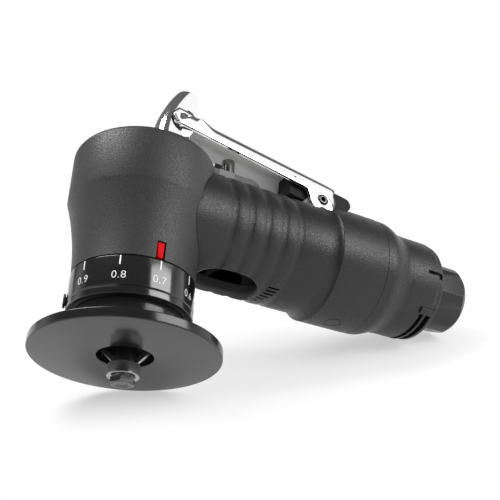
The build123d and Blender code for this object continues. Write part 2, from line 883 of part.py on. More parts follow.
# Motor housing: thick nose with the shaft tunnel and valve, then the bore for the motor
cheek_foot = pivot_rise - motor_radius + cheek_root
with BuildPart(handle_plane) as motor_housing:
    rod_x(motor_radius, motor_front, plate_back)
    with BuildSketch(Plane.XY.offset(pad_top)):
        with Locations((pad_round_x, 0)):
            Circle(pad_half_width)
            Rectangle(pad_half_width, 2 * pad_half_width, align=(Align.MAX, Align.CENTER))
        with Locations((motor_front, 0)):
            Rectangle(pad_round_x, 4 * pad_half_width, align=(Align.MAX, Align.CENTER), mode=Mode.SUBTRACT)
    extrude(amount=-(pad_rise + motor_radius / 2))
    with BuildSketch(Plane.XZ.offset(cheek_inner), Plane.XZ.offset(-cheek_outer)):
        with Locations((pivot_x, pivot_z)):
            Circle(cheek_radius)
            Polygon(
                (-cheek_front, -cheek_foot),
                (-cheek_front + cheek_rake, -cheek_radius + cheek_shoulder),
                (-cheek_radius * math.cos(math.pi / 6), cheek_radius * math.sin(math.pi / 6)),
                (0, 0),
                (cheek_radius, 0),
                (cheek_radius + cheek_flare, -cheek_foot),
                align=None,
            )
    extrude(amount=cheek_thickness)
    rod_x(motor_bore, plate_front, plate_back + overcut, Mode.SUBTRACT)
    rod_x(tunnel_radius, motor_front - overcut, plate_front + overcut, Mode.SUBTRACT)
    with BuildSketch(Plane(origin=(valve_x, 0, pad_top), z_dir=(0, 0, 1))):
        Circle(valve_bushing_radius + seat_gap)
    extrude(amount=-valve_bushing_length, mode=Mode.SUBTRACT)
    with BuildSketch(Plane(origin=(valve_x, 0, pad_top), z_dir=(0, 0, 1))):
        Circle(valve_chamber)
    extrude(amount=-valve_chamber_depth, mode=Mode.SUBTRACT)
    with BuildSketch(Plane.XY.offset(handle_z - motor_radius - overcut)):
        with Locations((motor_front + motor_nose / 2, 0)):
            Ellipse(vent_pocket_half_length, vent_pocket_half_width)
    extrude(amount=motor_radius + overcut - vent_pocket_roof, mode=Mode.SUBTRACT)
    with BuildSketch(Plane.XZ.offset(lever_width)):
        with Locations((pivot_x, pivot_z)):
            Circle(pivot_pin_radius + running_fit)
    extrude(amount=-2 * lever_width, mode=Mode.SUBTRACT)
motor_housing.part.label = "motor_housing"
export_step(motor_housing.part, "parts/motor_housing.step")

# Front and rear end plates of the motor
with BuildPart(handle_plane) as front_plate:
    rod_x(cylinder_outer, plate_front, cylinder_front)
    rod_x(shaft_radius + free_gap, plate_front - overcut, cylinder_front + overcut, Mode.SUBTRACT)
front_plate.part.label = "front_plate"
export_step(front_plate.part, "parts/front_plate.step")

with BuildPart(handle_plane) as back_plate:
    rod_x(cylinder_outer, cylinder_back, plate_back)
    rod_x(shaft_radius + free_gap, cylinder_back - overcut, plate_back + overcut, Mode.SUBTRACT)
    rod_x(motor_bearing_radius + seat_gap, rotor_bearing_start, plate_back + overcut, Mode.SUBTRACT)
back_plate.part.label = "back_plate"
export_step(back_plate.part, "parts/back_plate.step")

# Cylinder liner with its bore set off centre, and exhaust holes below
with BuildPart(handle_plane) as cylinder_liner:
    rod_x(cylinder_outer, cylinder_front, cylinder_back)
    with Locations((0, cylinder_offset, cylinder_front - overcut)):
        Cylinder(
            cylinder_radius,
            cylinder_length + 2 * overcut,
            align=(Align.CENTER, Align.CENTER, Align.MIN),
            mode=Mode.SUBTRACT,
        )
    with BuildSketch(Plane.XY.offset(handle_z - cylinder_outer - overcut)):
        with Locations(((cylinder_front + cylinder_back) / 2, 0)):
            with GridLocations(cylinder_length / 4, 1, 3, 1):
                Circle(exhaust_hole)
    extrude(amount=cylinder_outer, mode=Mode.SUBTRACT)
cylinder_liner.part.label = "cylinder_liner"
export_step(cylinder_liner.part, "parts/cylinder_liner.step")

# Rotor with its shaft and slots for the vanes
with BuildPart(handle_plane) as rotor:
    rod_x(rotor_radius, cylinder_front + free_gap, cylinder_back - free_gap)
    rod_x(shaft_radius, pinion_back + seat_gap, plate_back - free_gap)
    rod_x(pinion_bore, gear_pitch_radius * small_end + gear_rim, pinion_bearing_start)
    with BuildSketch(handle_plane.offset(cylinder_front)):
        with PolarLocations(rotor_radius, vane_count):
            Rectangle(2 * vane_depth, vane_thickness + 2 * running_fit)
    extrude(amount=cylinder_length, mode=Mode.SUBTRACT)
rotor.part.label = "rotor"
export_step(rotor.part, "parts/rotor.step")

with BuildPart() as vanes:
    with BuildSketch(handle_plane.offset(cylinder_front + free_gap)):
        with PolarLocations(rotor_radius - running_fit, vane_count):
            Rectangle(vane_depth - 2 * running_fit, vane_thickness, align=(Align.MAX, Align.CENTER))
    extrude(amount=cylinder_length - 2 * free_gap)
vanes.part.label = "vanes"
export_step(vanes.part, "parts/vanes.step")

# Grip over the motor housing, saddled to the head, with grooves, vent and louvres
with BuildPart() as head_room:
    add(head_outline(parting, head_top + head_radius))
    revolve(axis=Axis.Z)

with BuildPart() as grip_casing:
    with BuildSketch(Plane.XZ):
        with BuildLine():
            start = (0, handle_z + grip_radius)
            for i in range(grip_groove_count):
                middle = grip_groove_start + i * grip_groove_pitch
                low = (middle - grip_groove_width / 2, handle_z + grip_radius)
                high = (middle + grip_groove_width / 2, handle_z + grip_radius)
                Line(start, low)
                ThreePointArc(low, (middle, handle_z + grip_radius - grip_groove_depth), high)
                start = high
            Line(start, (grip_end, handle_z + grip_radius))
            Line((grip_end, handle_z + grip_radius), (grip_end, handle_z + grip_bore))
            Line((grip_end, handle_z + grip_bore), (0, handle_z + grip_bore))
            Line((0, handle_z + grip_bore), (0, handle_z + grip_radius))
        make_face()
    revolve(axis=handle_axis)
    add(head_room.part, mode=Mode.SUBTRACT)
    with BuildSketch(Plane.XY.offset(handle_z)):
        with Locations((pad_round_x, 0)):
            Circle(pad_half_width + running_fit)
        with Locations((pad_round_x, 0)):
            Rectangle(pad_round_x, 2 * (pad_half_width + running_fit), align=(Align.MAX, Align.CENTER))
    extrude(amount=2 * grip_radius, mode=Mode.SUBTRACT)
    with BuildSketch(Plane.XY.offset(relief_z)):
        with Locations((relief_start, 0)):
            Rectangle(grip_end, 2 * relief_half, align=(Align.MIN, Align.CENTER))
    extrude(amount=grip_radius, mode=Mode.SUBTRACT)
    with BuildSketch(Plane.XY.offset(handle_z)):
        with Locations((cheek_start - parting, 0)):
            Rectangle(grip_end, 2 * (cheek_outer + running_fit), align=(Align.MIN, Align.CENTER))
    extrude(amount=2 * grip_radius, mode=Mode.SUBTRACT)
    with BuildSketch(Plane.XY.offset(handle_z - grip_radius - overcut)):
        with Locations((vent_middle, 0)):
            Ellipse(vent_half_length, vent_half_width)
    extrude(amount=grip_radius + overcut, mode=Mode.SUBTRACT)
    for i in range(slot_count):
        swing = -90 + (i - (slot_count - 1) / 2) * slot_step
        slot_plane = Plane(
            origin=(slot_start + slot_length / 2, 0, handle_z),
            x_dir=(1, 0, 0),
            z_dir=(0, math.cos(math.radians(swing)), math.sin(math.radians(swing))),
        )
        with BuildSketch(slot_plane.offset(grip_radius - slot_depth)):
            SlotOverall(slot_length, slot_width)
        extrude(amount=slot_depth + overcut, mode=Mode.SUBTRACT)
grip_casing.part.label = "grip_casing"
export_step(grip_casing.part, "parts/grip_casing.step")

# Rear casing, fatter than the grip, with room above for the lever's ears
with BuildPart() as rear_casing:
    with BuildSketch(Plane.XZ):
        with BuildLine():
            Polyline(
                (rear_start, handle_z + grip_bore),
                (rear_start, handle_z + grip_radius + rear_step),
                (rear_start + rear_slope, handle_z + rear_radius),
                (seam - seam_edge, handle_z + rear_radius),
                (seam, handle_z + rear_radius - seam_edge),
                (seam, handle_z + grip_bore),
                close=True,
            )
        make_face()
    revolve(axis=handle_axis)
    with BuildSketch(Plane.XY.offset(relief_z)):
        with Locations((pivot_x + relief_back, 0)):
            Rectangle(rear_start, 2 * relief_half, align=(Align.MAX, Align.CENTER))
    extrude(amount=rear_radius, mode=Mode.SUBTRACT)
    with BuildSketch(Plane.XY.offset(handle_z)):
        with Locations((cheek_end + parting, 0)):
            Rectangle(rear_start, 2 * (cheek_outer + running_fit), align=(Align.MAX, Align.CENTER))
    extrude(amount=2 * rear_radius, mode=Mode.SUBTRACT)
rear_casing.part.label = "rear_casing"
export_step(rear_casing.part, "parts/rear_casing.step")

# Rear collar: closes the motor and carries the air inlet, with exhaust ports round it
with BuildPart() as rear_collar:
    fall_start = collar_start + collar_straight
    fall_end = fall_start + collar_fall
    spigot_start = plate_back + running_fit
    spigot_z = handle_z + motor_bore - running_fit
    collar_z = handle_z + rear_radius - collar_inset
    neck_z = handle_z + collar_radius
    with BuildSketch(Plane.XZ):
        with BuildLine():
            Polyline(
                (fall_end, neck_z),
                (collar_end, neck_z),
                (collar_end, handle_z),
                (spigot_start, handle_z),
                (spigot_start, spigot_z),
                (collar_start, spigot_z),
                (collar_start, collar_z - seam_edge),
                (collar_start + seam_edge, collar_z),
                (fall_start, collar_z),
            )
            Spline((fall_start, collar_z), (fall_end, neck_z), tangents=((1, 0), (1, 0)))
        make_face()
    revolve(axis=handle_axis)
    with BuildSketch(handle_plane.offset(plate_back)):
        Circle(inlet_stub + running_fit)
    extrude(amount=collar_end, mode=Mode.SUBTRACT)
    with BuildSketch(handle_plane.offset(plate_back)):
        with PolarLocations((inlet_stub + motor_bore) / 2, collar_port_count):
            Circle((motor_bore - inlet_stub) / 2 - collar_port_wall)
    extrude(amount=collar_end, mode=Mode.SUBTRACT)
rear_collar.part.label = "rear_collar"
export_step(rear_collar.part, "parts/rear_collar.step")

# Exhaust deflector with two slots round its underside
deflector_radius = collar_radius - parting
port_back = deflector_end - port_edge
port_front = port_back - port_wide - port_rib - port_narrow
port_first = -90 - port_half_angle
with BuildPart() as exhaust_deflector:
    step_x = deflector_start + deflector_step_start
    rim = handle_z + deflector_radius - deflector_step
    with BuildSketch(Plane.XZ):
        with BuildLine():
            Polyline(
                (deflector_end - deflector_round, rim),
                (step_x + deflector_step_run, rim),
                (step_x, handle_z + deflector_radius),
                (deflector_start, handle_z + deflector_radius),
                (deflector_start, handle_z),
                (deflector_end, handle_z),
                (deflector_end, rim - deflector_round),
            )
            TangentArc(
                (deflector_end, rim - deflector_round),
                (deflector_end - deflector_round, rim),
                tangent=(0, 1),
            )
        make_face()
    revolve(axis=handle_axis)
    handle_sector(
        port_front - port_lip_reach,
        port_back - port_front + 2 * port_lip_reach,
        deflector_radius - deflector_wall / 2,
        deflector_radius + port_lip_height,
        port_first - port_lip_angle - port_lip_gap,
        port_first - port_lip_gap,
        Mode.ADD,
    )
    with BuildSketch(handle_plane.offset(deflector_start)):
        Circle(deflector_radius - deflector_wall)
    extrude(amount=deflector_length - deflector_back, mode=Mode.SUBTRACT)
    with BuildSketch(handle_plane.offset(deflector_start)):
        Circle(inlet_stub + running_fit)
    extrude(amount=deflector_length, mode=Mode.SUBTRACT)
    for edge, width in ((port_front, port_narrow), (port_back - port_wide, port_wide)):
        handle_sector(
            edge,
            width,
            deflector_radius - deflector_wall - overcut,
            deflector_radius + overcut,
            port_first,
            port_first + 2 * port_half_angle,
            Mode.SUBTRACT,
        )
    notch_half = math.degrees(notch_width / 2 / deflector_radius)
    handle_sector(
        deflector_end - notch_length - notch_end,
        notch_length,
        deflector_radius - notch_depth,
        deflector_radius + overcut,
        notch_angle - notch_half,
        notch_angle + notch_half,
        Mode.SUBTRACT,
    )
exhaust_deflector.part.label = "exhaust_deflector"
export_step(exhaust_deflector.part, "parts/exhaust_deflector.step")

# Felt silencer ring inside the deflector
with BuildPart(handle_plane) as silencer_ring:
    silencer_radius = deflector_radius - deflector_wall - running_fit
    rod_x(silencer_radius, deflector_start, deflector_start + silencer_length)
    rod_x(inlet_stub + running_fit, deflector_start - overcut, deflector_end, Mode.SUBTRACT)
silencer_ring.part.label = "silencer_ring"
export_step(silencer_ring.part, "parts/silencer_ring.step")

# Air inlet bushing: stub through the collar, hexagon with turned corners, threaded mouth
stub_start = collar_start + inlet_stub_inset
screen_start = inlet_end - inlet_thread_depth - screen_sink - screen_thickness
with BuildPart(handle_plane) as inlet_bushing:
    with BuildSketch(handle_plane.offset(inlet_start)) as hexagon:
        RegularPolygon(inlet_across_flats / 2, 6, major_radius=False, rotation=inlet_turn)
        Circle(inlet_corner_radius, mode=Mode.INTERSECT)
    extrude(amount=inlet_length)
    chamfer(inlet_bushing.faces().sort_by(Axis.X)[-1].edges().filter_by(GeomType.CIRCLE), inlet_edge)
    rod_x(inlet_stub, stub_start, inlet_start)
    rod_x(inlet_passage, stub_start - overcut, inlet_end, Mode.SUBTRACT)
    rod_x(screen_radius + seat_gap, screen_start, inlet_end, Mode.SUBTRACT)
    rod_x(inlet_thread_radius, inlet_end - inlet_thread_depth, inlet_end + overcut, Mode.SUBTRACT)
inlet_bushing.part.label = "inlet_bushing"
export_step(inlet_bushing.part, "parts/inlet_bushing.step")

# Air strainer at the bottom of the inlet
with BuildPart(handle_plane) as inlet_screen:
    rod_x(screen_radius, screen_start, screen_start + screen_thickness)
    with BuildSketch(handle_plane.offset(screen_start)):
        Circle(screen_hole)
        with PolarLocations(screen_radius / 2, screen_holes):
            Circle(screen_hole)
    extrude(amount=screen_thickness, mode=Mode.SUBTRACT)
inlet_screen.part.label = "inlet_screen"
export_step(inlet_screen.part, "parts/inlet_screen.step")

# Valve bushing in the pad
valve_plane = Plane(origin=(valve_x, 0, pad_top), x_dir=(1, 0, 0), z_dir=(0, 0, 1))
with BuildPart(valve_plane) as valve_bushing:
    rod_z(valve_bushing_radius, -valve_bushing_length, 0)
    rod_z(stem_radius + running_fit, -valve_bushing_length - overcut, overcut, Mode.SUBTRACT)
valve_bushing.part.label = "valve_bushing"
export_step(valve_bushing.part, "parts/valve_bushing.step")

# Valve stem with its poppet, and the seal round the poppet
poppet_top = -valve_bushing_length - free_gap
poppet_bottom = poppet_top - poppet_length
seal_height = poppet_top - poppet_length / 2
with BuildPart(valve_plane) as valve_stem:
    rod_z(stem_radius, poppet_top, stem_rise)
    fillet(valve_stem.edges().sort_by(Axis.Z)[-1], stem_radius / 4)
    rod_z(poppet_radius, poppet_bottom, poppet_top)
    with Locations((0, 0, seal_height)):
        Torus(poppet_radius - seal_wire / 3, seal_wire + seat_gap, mode=Mode.SUBTRACT)
valve_stem.part.label = "valve_stem"
export_step(valve_stem.part, "parts/valve_stem.step")

with BuildPart(valve_plane) as stem_seal:
    with Locations((0, 0, seal_height)):
        Torus(poppet_radius - seal_wire / 3, seal_wire)
stem_seal.part.label = "stem_seal"
export_step(stem_seal.part, "parts/stem_seal.step")

# Coil spring under the poppet
spring_room = valve_chamber_depth + poppet_bottom
spring_rise = (spring_room - 2 * (spring_wire + seat_gap)) / spring_turns
spring_foot = pad_top - valve_chamber_depth + spring_wire + seat_gap
spring_shift = Vector(valve_x, 0, spring_foot)
with BuildPart() as valve_spring:
    with BuildLine() as spring_line:
        for begin, direction, end in coil_arcs(spring_radius, spring_rise, spring_turns):
            TangentArc(begin + spring_shift, end + spring_shift, tangent=direction)
    with BuildSketch(Plane(origin=spring_line.line @ 0, z_dir=spring_line.line % 0)):
        Circle(spring_wire)
    sweep(path=spring_line.wires()[0])
valve_spring.part.label = "valve_spring"
export_step(valve_spring.part, "parts/valve_spring.step")
spring_gap = self_gap(spring_line.wires()[0], spring_wire, math.pi * spring_radius)
print("valve spring self gap", round(spring_gap, 2))


def tangent_point(point, centre, radius, side):
    """Where a line from the point touches the circle, on the left (1) or right (-1) of the centre line."""
    across = point[0] - centre[0]
    along = point[1] - centre[1]
    swing = math.atan2(along, across) - side * math.acos(radius / math.hypot(across, along))
    return (centre[0] + radius * math.cos(swing), centre[1] + radius * math.sin(swing))


# Throttle lever: a folded channel with ears at the pivot and a rounded nose for the latch
lever_forward = lever_plane.x_dir
lever_sides = (lever_plane.offset(lever_inside), lever_plane.offset(-lever_half))
nose = (latch_u, latch_v)
nose_top = (latch_u - nose_blend, lever_top - lever_brow)
nose_low = (latch_u - nose_blend, flange_low)
ear = (ear_front, flange_low)
with BuildPart() as throttle_lever:
    channel_start = lever_plane.from_local_coords((-lever_tail, 0, 0))
    with BuildSketch(Plane(origin=channel_start, x_dir=(0, -1, 0), z_dir=lever_forward)) as channel:
        with Locations((0, lever_top)):
            Rectangle(lever_width, lever_drop, align=(Align.CENTER, Align.MAX))
        fillet(channel.vertices().group_by(Axis.Y)[-1], lever_bend)
        with Locations((0, web_under)):
            Rectangle(2 * lever_inside, lever_drop, align=(Align.CENTER, Align.MAX), mode=Mode.SUBTRACT)
    extrude(amount=lever_tail + lever_reach)
    with BuildSketch(*lever_sides):
        Circle(ear_radius)
        Polygon(
            ear,
            (ear_front, flange_low + overlap),
            (-lever_tail, flange_low + overlap),
            (-lever_tail, 0),
            (0, 0),
            tangent_point(ear, (0, 0), ear_radius, 1),
            align=None,
        )
        with Locations(nose):
            Circle(nose_radius)
        Polygon(
            (lever_reach - overlap, flange_low),
            (lever_reach - overlap, lever_top - lever_brow),
            nose_top,
            tangent_point(nose_top, nose, nose_radius, 1),
            nose,
            tangent_point(nose_low, nose, nose_radius, -1),
            nose_low,
            align=None,
        )
    extrude(amount=lever_sheet)
    with BuildSketch(lever_plane.offset(-lever_width)):
        Circle(pivot_pin_radius + seat_gap)
        with Locations(nose):
            Circle(latch_pin_radius + seat_gap)
    extrude(amount=2 * lever_width, mode=Mode.SUBTRACT)
throttle_lever.part.label = "throttle_lever"
export_step(throttle_lever.part, "parts/throttle_lever.step")

# Black heel that fills the lever's rear end between the hinge cheeks
heel_tail_v = heel_top - heel_tail_radius
heel_roof = web_under - seat_gap
with BuildPart() as lever_heel:
    with BuildSketch(lever_plane.offset(-heel_half)):
        Circle(heel_boss)
        with Locations((heel_tail_u, heel_tail_v)):
            Circle(heel_tail_radius)
        Polygon(
            (heel_front, heel_roof),
            (-lever_tail - parting, heel_roof),
            (-lever_tail - parting, heel_top),
            (heel_tail_u, heel_top),
            (heel_tail_u, heel_tail_v - heel_tail_radius),
            (0, -heel_boss),
            (heel_boss, heel_floor),
            (heel_front - heel_lean, heel_floor),
            align=None,
        )
        Circle(pivot_pin_radius + seat_gap, mode=Mode.SUBTRACT)
    extrude(amount=2 * heel_half)
lever_heel.part.label = "lever_heel"
export_step(lever_heel.part, "parts/lever_heel.step")

# Hollow pivot pin
with BuildPart() as lever_pin:
    with BuildSketch(lever_plane.offset(-lever_half - pin_stand)):
        Circle(pivot_pin_radius)
        Circle(pivot_pin_bore, mode=Mode.SUBTRACT)
    extrude(amount=lever_width + 2 * pin_stand)
lever_pin.part.label = "lever_pin"
export_step(lever_pin.part, "parts/lever_pin.step")

# Pin through the lever's nose
with BuildPart() as latch_pin:
    with BuildSketch(latch_plane.offset(-lever_half)):
        Circle(latch_pin_radius)
    extrude(amount=lever_width)
latch_pin.part.label = "latch_pin"
export_step(latch_pin.part, "parts/latch_pin.step")

# Safety latch: one folded sheet with a front, a thumb cap above and two cheeks on the pin
latch_half = lever_inside - latch_side_gap
latch_inside = latch_half - latch_sheet
cap_floor = (latch_cap_back - latch_cap_tuck, latch_cap_floor)
cap_waist = (latch_cap_back, latch_cap_waist)
cap_back = (latch_cap_back - latch_cap_lean, latch_cap_top - latch_cap_fall)
cap_front = (-latch_cap_front, latch_cap_top)
belly = (-latch_belly, latch_belly_height)
foot_front = (-latch_foot_front, -latch_foot)
foot_back = (latch_foot_back, -latch_foot)
with BuildPart() as safety_latch:
    with BuildSketch(latch_plane.offset(-latch_half)) as cheek:
        with BuildLine():
            ThreePointArc(cap_front, belly, foot_front)
            Polyline(foot_front, foot_back, cap_floor, cap_waist, cap_back, cap_front)
        make_face()
        fillet(cheek.vertices().group_by(Axis.Y)[-1], latch_cap_round)
        fillet(cheek.vertices().filter_by_position(Axis.Y, latch_cap_waist, latch_cap_top), latch_cap_round)
        with Locations((latch_room_x, -latch_room_drop)):
            Circle(latch_room, mode=Mode.SUBTRACT)
        Circle(latch_eye)
        Rectangle(2 * latch_neck, latch_room, align=(Align.CENTER, Align.MIN))
    extrude(amount=2 * latch_half)
    front_face = safety_latch.faces().sort_by(Axis.X)[0]
    fillet(front_face.edges().filter_by(Axis.Y, reverse=True), latch_fold)
    with BuildSketch(latch_plane.offset(-latch_inside)):
        with BuildLine():
            ThreePointArc(
                (latch_sheet - latch_cap_front, latch_cap_top - latch_sheet),
                (latch_sheet - latch_belly, latch_belly_height),
                (latch_sheet - latch_foot_front, -latch_foot - overcut),
            )
            Polyline(
                (latch_sheet - latch_foot_front, -latch_foot - overcut),
                (cap_floor[0] - latch_sheet, -latch_foot - overcut),
                (cap_floor[0] - latch_sheet, latch_cap_floor),
                (latch_cap_back - latch_sheet, latch_cap_waist),
                (cap_back[0] - latch_sheet, cap_back[1] - latch_sheet),
                (latch_sheet - latch_cap_front, latch_cap_top - latch_sheet),
            )
        make_face()
    extrude(amount=2 * latch_inside, mode=Mode.SUBTRACT)
    with BuildSketch(latch_plane.offset(-lever_half)):
        Circle(latch_pin_radius + running_fit)
    extrude(amount=lever_width, mode=Mode.SUBTRACT)
safety_latch.part.label = "safety_latch"
export_step(safety_latch.part, "parts/safety_latch.step")

# Torsion spring round the latch's pin, one leg under the lever's web and one to the strip
latch_coil_length = 2 * (latch_inside - latch_spring_side - latch_spring_wire)
latch_spring_rise = latch_coil_length / latch_spring_turns
coil_plane = Plane(
    origin=latch_origin + Vector(0, latch_coil_length / 2, 0),
    x_dir=(0, 0, -1),
    z_dir=(0, -1, 0),
)
with BuildPart() as latch_spring:
    arcs = coil_arcs(latch_spring_radius, latch_spring_rise, latch_spring_turns)
    leg = arcs[0][1]
    with BuildLine() as coil_line:
        Line(
            coil_plane.from_local_coords(arcs[0][0] - leg * latch_leg_front),
            coil_plane.from_local_coords(arcs[0][0]),
        )
        for begin, direction, end in arcs:
            TangentArc(
                coil_plane.from_local_coords(begin),
                coil_plane.from_local_coords(end),
                tangent=coil_plane.from_local_coords(direction) - coil_plane.origin,
            )
        Line(
            coil_plane.from_local_coords(arcs[-1][2]),
            coil_plane.from_local_coords(arcs[-1][2] + leg * latch_leg_back),
        )
    with BuildSketch(Plane(origin=coil_line.line @ 0, z_dir=coil_line.line % 0)):
        Circle(latch_spring_wire)
    sweep(path=coil_line.wires()[0])
latch_spring.part.label = "latch_spring"
export_step(latch_spring.part, "parts/latch_spring.step")
latch_gap = self_gap(coil_line.wires()[0], latch_spring_wire, math.pi * latch_spring_radius)
print("latch spring self gap", round(latch_gap, 2))
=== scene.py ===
import json
import math

import bmesh
import bpy
from mathutils import Euler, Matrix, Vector


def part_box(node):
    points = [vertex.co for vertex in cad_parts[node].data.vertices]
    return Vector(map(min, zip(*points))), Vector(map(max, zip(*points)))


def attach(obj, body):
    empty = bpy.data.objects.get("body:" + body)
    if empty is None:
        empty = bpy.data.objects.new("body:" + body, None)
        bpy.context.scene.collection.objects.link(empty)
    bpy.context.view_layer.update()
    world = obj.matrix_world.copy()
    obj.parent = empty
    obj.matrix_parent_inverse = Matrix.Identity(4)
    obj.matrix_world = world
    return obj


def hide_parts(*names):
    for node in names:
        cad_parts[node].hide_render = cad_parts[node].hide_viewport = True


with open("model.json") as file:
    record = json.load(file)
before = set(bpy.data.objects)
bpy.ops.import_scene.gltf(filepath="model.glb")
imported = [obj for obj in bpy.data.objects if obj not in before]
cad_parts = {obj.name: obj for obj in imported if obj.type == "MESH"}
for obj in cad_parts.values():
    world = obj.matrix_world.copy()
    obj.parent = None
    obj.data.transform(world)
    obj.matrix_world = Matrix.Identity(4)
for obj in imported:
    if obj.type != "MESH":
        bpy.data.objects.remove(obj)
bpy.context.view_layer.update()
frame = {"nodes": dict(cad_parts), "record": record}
mm = 0.001  # the outlines below are in millimetres


# Sizes read from the frame, in millimetres
def boxOf(node):
    low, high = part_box(node)
    return Vector(low) / mm, Vector(high) / mm


discHigh = boxOf("guide_disc")[1]
ringLow, ringHigh = boxOf("depth_ring")
headLow, headHigh = boxOf("head_casing")
gripHigh = boxOf("grip_casing")[1]
rearLow, rearHigh = boxOf("rear_casing")
collarLow, collarHigh = boxOf("rear_collar")
deflectorLow, deflectorHigh = boxOf("exhaust_deflector")
inletLow, inletHigh = boxOf("inlet_bushing")
leverPinLow, leverPinHigh = boxOf("lever_pin")
latchPinLow, latchPinHigh = boxOf("latch_pin")
boltLow, boltHigh = boxOf("guide_bolt")
washerLow = boxOf("bolt_washer")[0]
stemLow, stemHigh = boxOf("valve_stem")
pointerLow, pointerHigh = boxOf("pointer")

handleZ = (rearLow.z + rearHigh.z) / 2
gripRadius = gripHigh.y
rearRadius = rearHigh.y
pivot = (leverPinLow + leverPinHigh) / 2
latchPin = (latchPinLow + latchPinHigh) / 2
stemX = (stemLow.x + stemHigh.x) / 2
leverTilt = 9.27
print("frame sizes read")


# Modelling helpers
def takeUp(piece):
    if bpy.context.object and bpy.context.object.mode != "OBJECT":
        bpy.ops.object.mode_set(mode="OBJECT")
    bpy.ops.object.select_all(action="DESELECT")
    if piece:
        bpy.context.view_layer.objects.active = piece
        piece.select_set(True)


def rounded(corners):
    # corners are (across, up) or (across, up, radius); a radius turns the corner into an arc
    line = []
    count = len(corners)
    for i, corner in enumerate(corners):
        spot = Vector(corner[:2])
        if len(corner) == 2:
            line.append(spot)
            continue
        back = (Vector(corners[i - 1][:2]) - spot).normalized()
        ahead = (Vector(corners[(i + 1) % count][:2]) - spot).normalized()
        half = back.angle(ahead) / 2
        middle = spot + (back + ahead).normalized() * corner[2] / math.sin(half)
        start = spot + back * corner[2] / math.tan(half) - middle
        turn = start.angle_signed(spot + ahead * corner[2] / math.tan(half) - middle)
        steps = max(3, round(abs(turn) / math.radians(11)))
        for k in range(steps + 1):
            swing = -turn * k / steps
            line.append(middle + Vector((start.x * math.cos(swing) - start.y * math.sin(swing),
                                         start.x * math.sin(swing) + start.y * math.cos(swing))))
    return line


def arc(middle, radius, first, last, steps=12):
    swing = [math.radians(first + (last - first) * k / steps) for k in range(steps + 1)]
    return [(middle[0] + radius * math.cos(a), middle[1] + radius * math.sin(a)) for a in swing]


def arcThrough(start, via, end, steps=16):
    # points on the circle through three points
    ax, ay = Vector(start)
    bx, by = Vector(via)
    cx, cy = Vector(end)
    d = 2 * (ax * (by - cy) + bx * (cy - ay) + cx * (ay - by))
    ox = ((ax * ax + ay * ay) * (by - cy) + (bx * bx + by * by) * (cy - ay) + (cx * cx + cy * cy) * (ay - by)) / d
    oy = ((ax * ax + ay * ay) * (cx - bx) + (bx * bx + by * by) * (ax - cx) + (cx * cx + cy * cy) * (bx - ax)) / d
    middle = Vector((ox, oy))
    first = Vector(start) - middle
    turn = first.angle_signed(Vector(via) - middle) + (Vector(via) - middle).angle_signed(Vector(end) - middle)
    line = []
    for k in range(steps + 1):
        swing = -turn * k / steps
        line.append((ox + first.x * math.cos(swing) - first.y * math.sin(swing),
                     oy + first.x * math.sin(swing) + first.y * math.cos(swing)))
    return line


def drawOutline(name, points, closed=True):
    # one vertex, extruded along the outline in the XZ plane
    takeUp(None)
    first = Vector(points[0])
    bpy.ops.mesh.primitive_plane_add(size=mm, location=(0, 0, 0))
    piece = bpy.context.object
    piece.name = name
    bpy.ops.object.mode_set(mode="EDIT")
    bpy.ops.mesh.select_mode(type="VERT")
    bpy.ops.mesh.merge(type="CENTER")
    bpy.ops.transform.translate(value=(first.x * mm, 0, first.y * mm))
    route = list(points[1:]) + ([points[0]] if closed else [])
    here = first
    for spot in route:
        step = Vector(spot) - here
        bpy.ops.mesh.extrude_region_move(TRANSFORM_OT_translate={"value": (step.x * mm, 0, step.y * mm)})
        here = Vector(spot)
    bpy.ops.mesh.select_all(action="SELECT")
    bpy.ops.mesh.remove_doubles(threshold=0.002 * mm)
    return piece


def spinPiece(name, points, steps=192, closed=True):
    # an outline of (radius, height) turned round the Z axis
    piece = drawOutline(name, points, closed)
    bpy.ops.mesh.spin(steps=steps, angle=2 * math.pi, center=(0, 0, 0), axis=(0, 0, 1))
    bpy.ops.mesh.select_all(action="SELECT")
    bpy.ops.mesh.remove_doubles(threshold=0.002 * mm)
    bpy.ops.mesh.normals_make_consistent(inside=False)
    bpy.ops.object.mode_set(mode="OBJECT")
    return piece


def plate(name, points, near, far):
    # an outline in the XZ plane, filled and extruded across from near to far
    piece = drawOutline(name, points)
    bpy.ops.mesh.edge_face_add()
    bpy.ops.transform.translate(value=(0, near * mm, 0))
    bpy.ops.mesh.extrude_region_move(TRANSFORM_OT_translate={"value": (0, (far - near) * mm, 0)})
    bpy.ops.mesh.select_all(action="SELECT")
    bpy.ops.mesh.normals_make_consistent(inside=False)
    bpy.ops.object.mode_set(mode="OBJECT")
    return piece


def place(piece, spot=(0, 0, 0), turn=(0, 0, 0)):
    # spot in millimetres and turn in degrees, both applied to the mesh
    takeUp(piece)
    piece.location = Vector(spot) * mm
    piece.rotation_euler = Euler([math.radians(a) for a in turn])
    bpy.ops.object.transform_apply(location=True, rotation=True, scale=True)
    return piece


def alongHandle(piece):
    return place(piece, (0, 0, handleZ), (0, 90, 0))


def handleSector(name, start, end, inner, outer, first, last):
    # part of a ring round the handle, with angles counted from +Y towards +Z
    steps = max(4, round((last - first) / 2))
    ringPart = arc((0, 0), outer, 180 - first, 180 - last, steps)
    ringPart += arc((0, 0), inner, 180 - last, 180 - first, steps)
    return place(plate(name, ringPart, start, end), (0, 0, handleZ), (0, 0, -90))


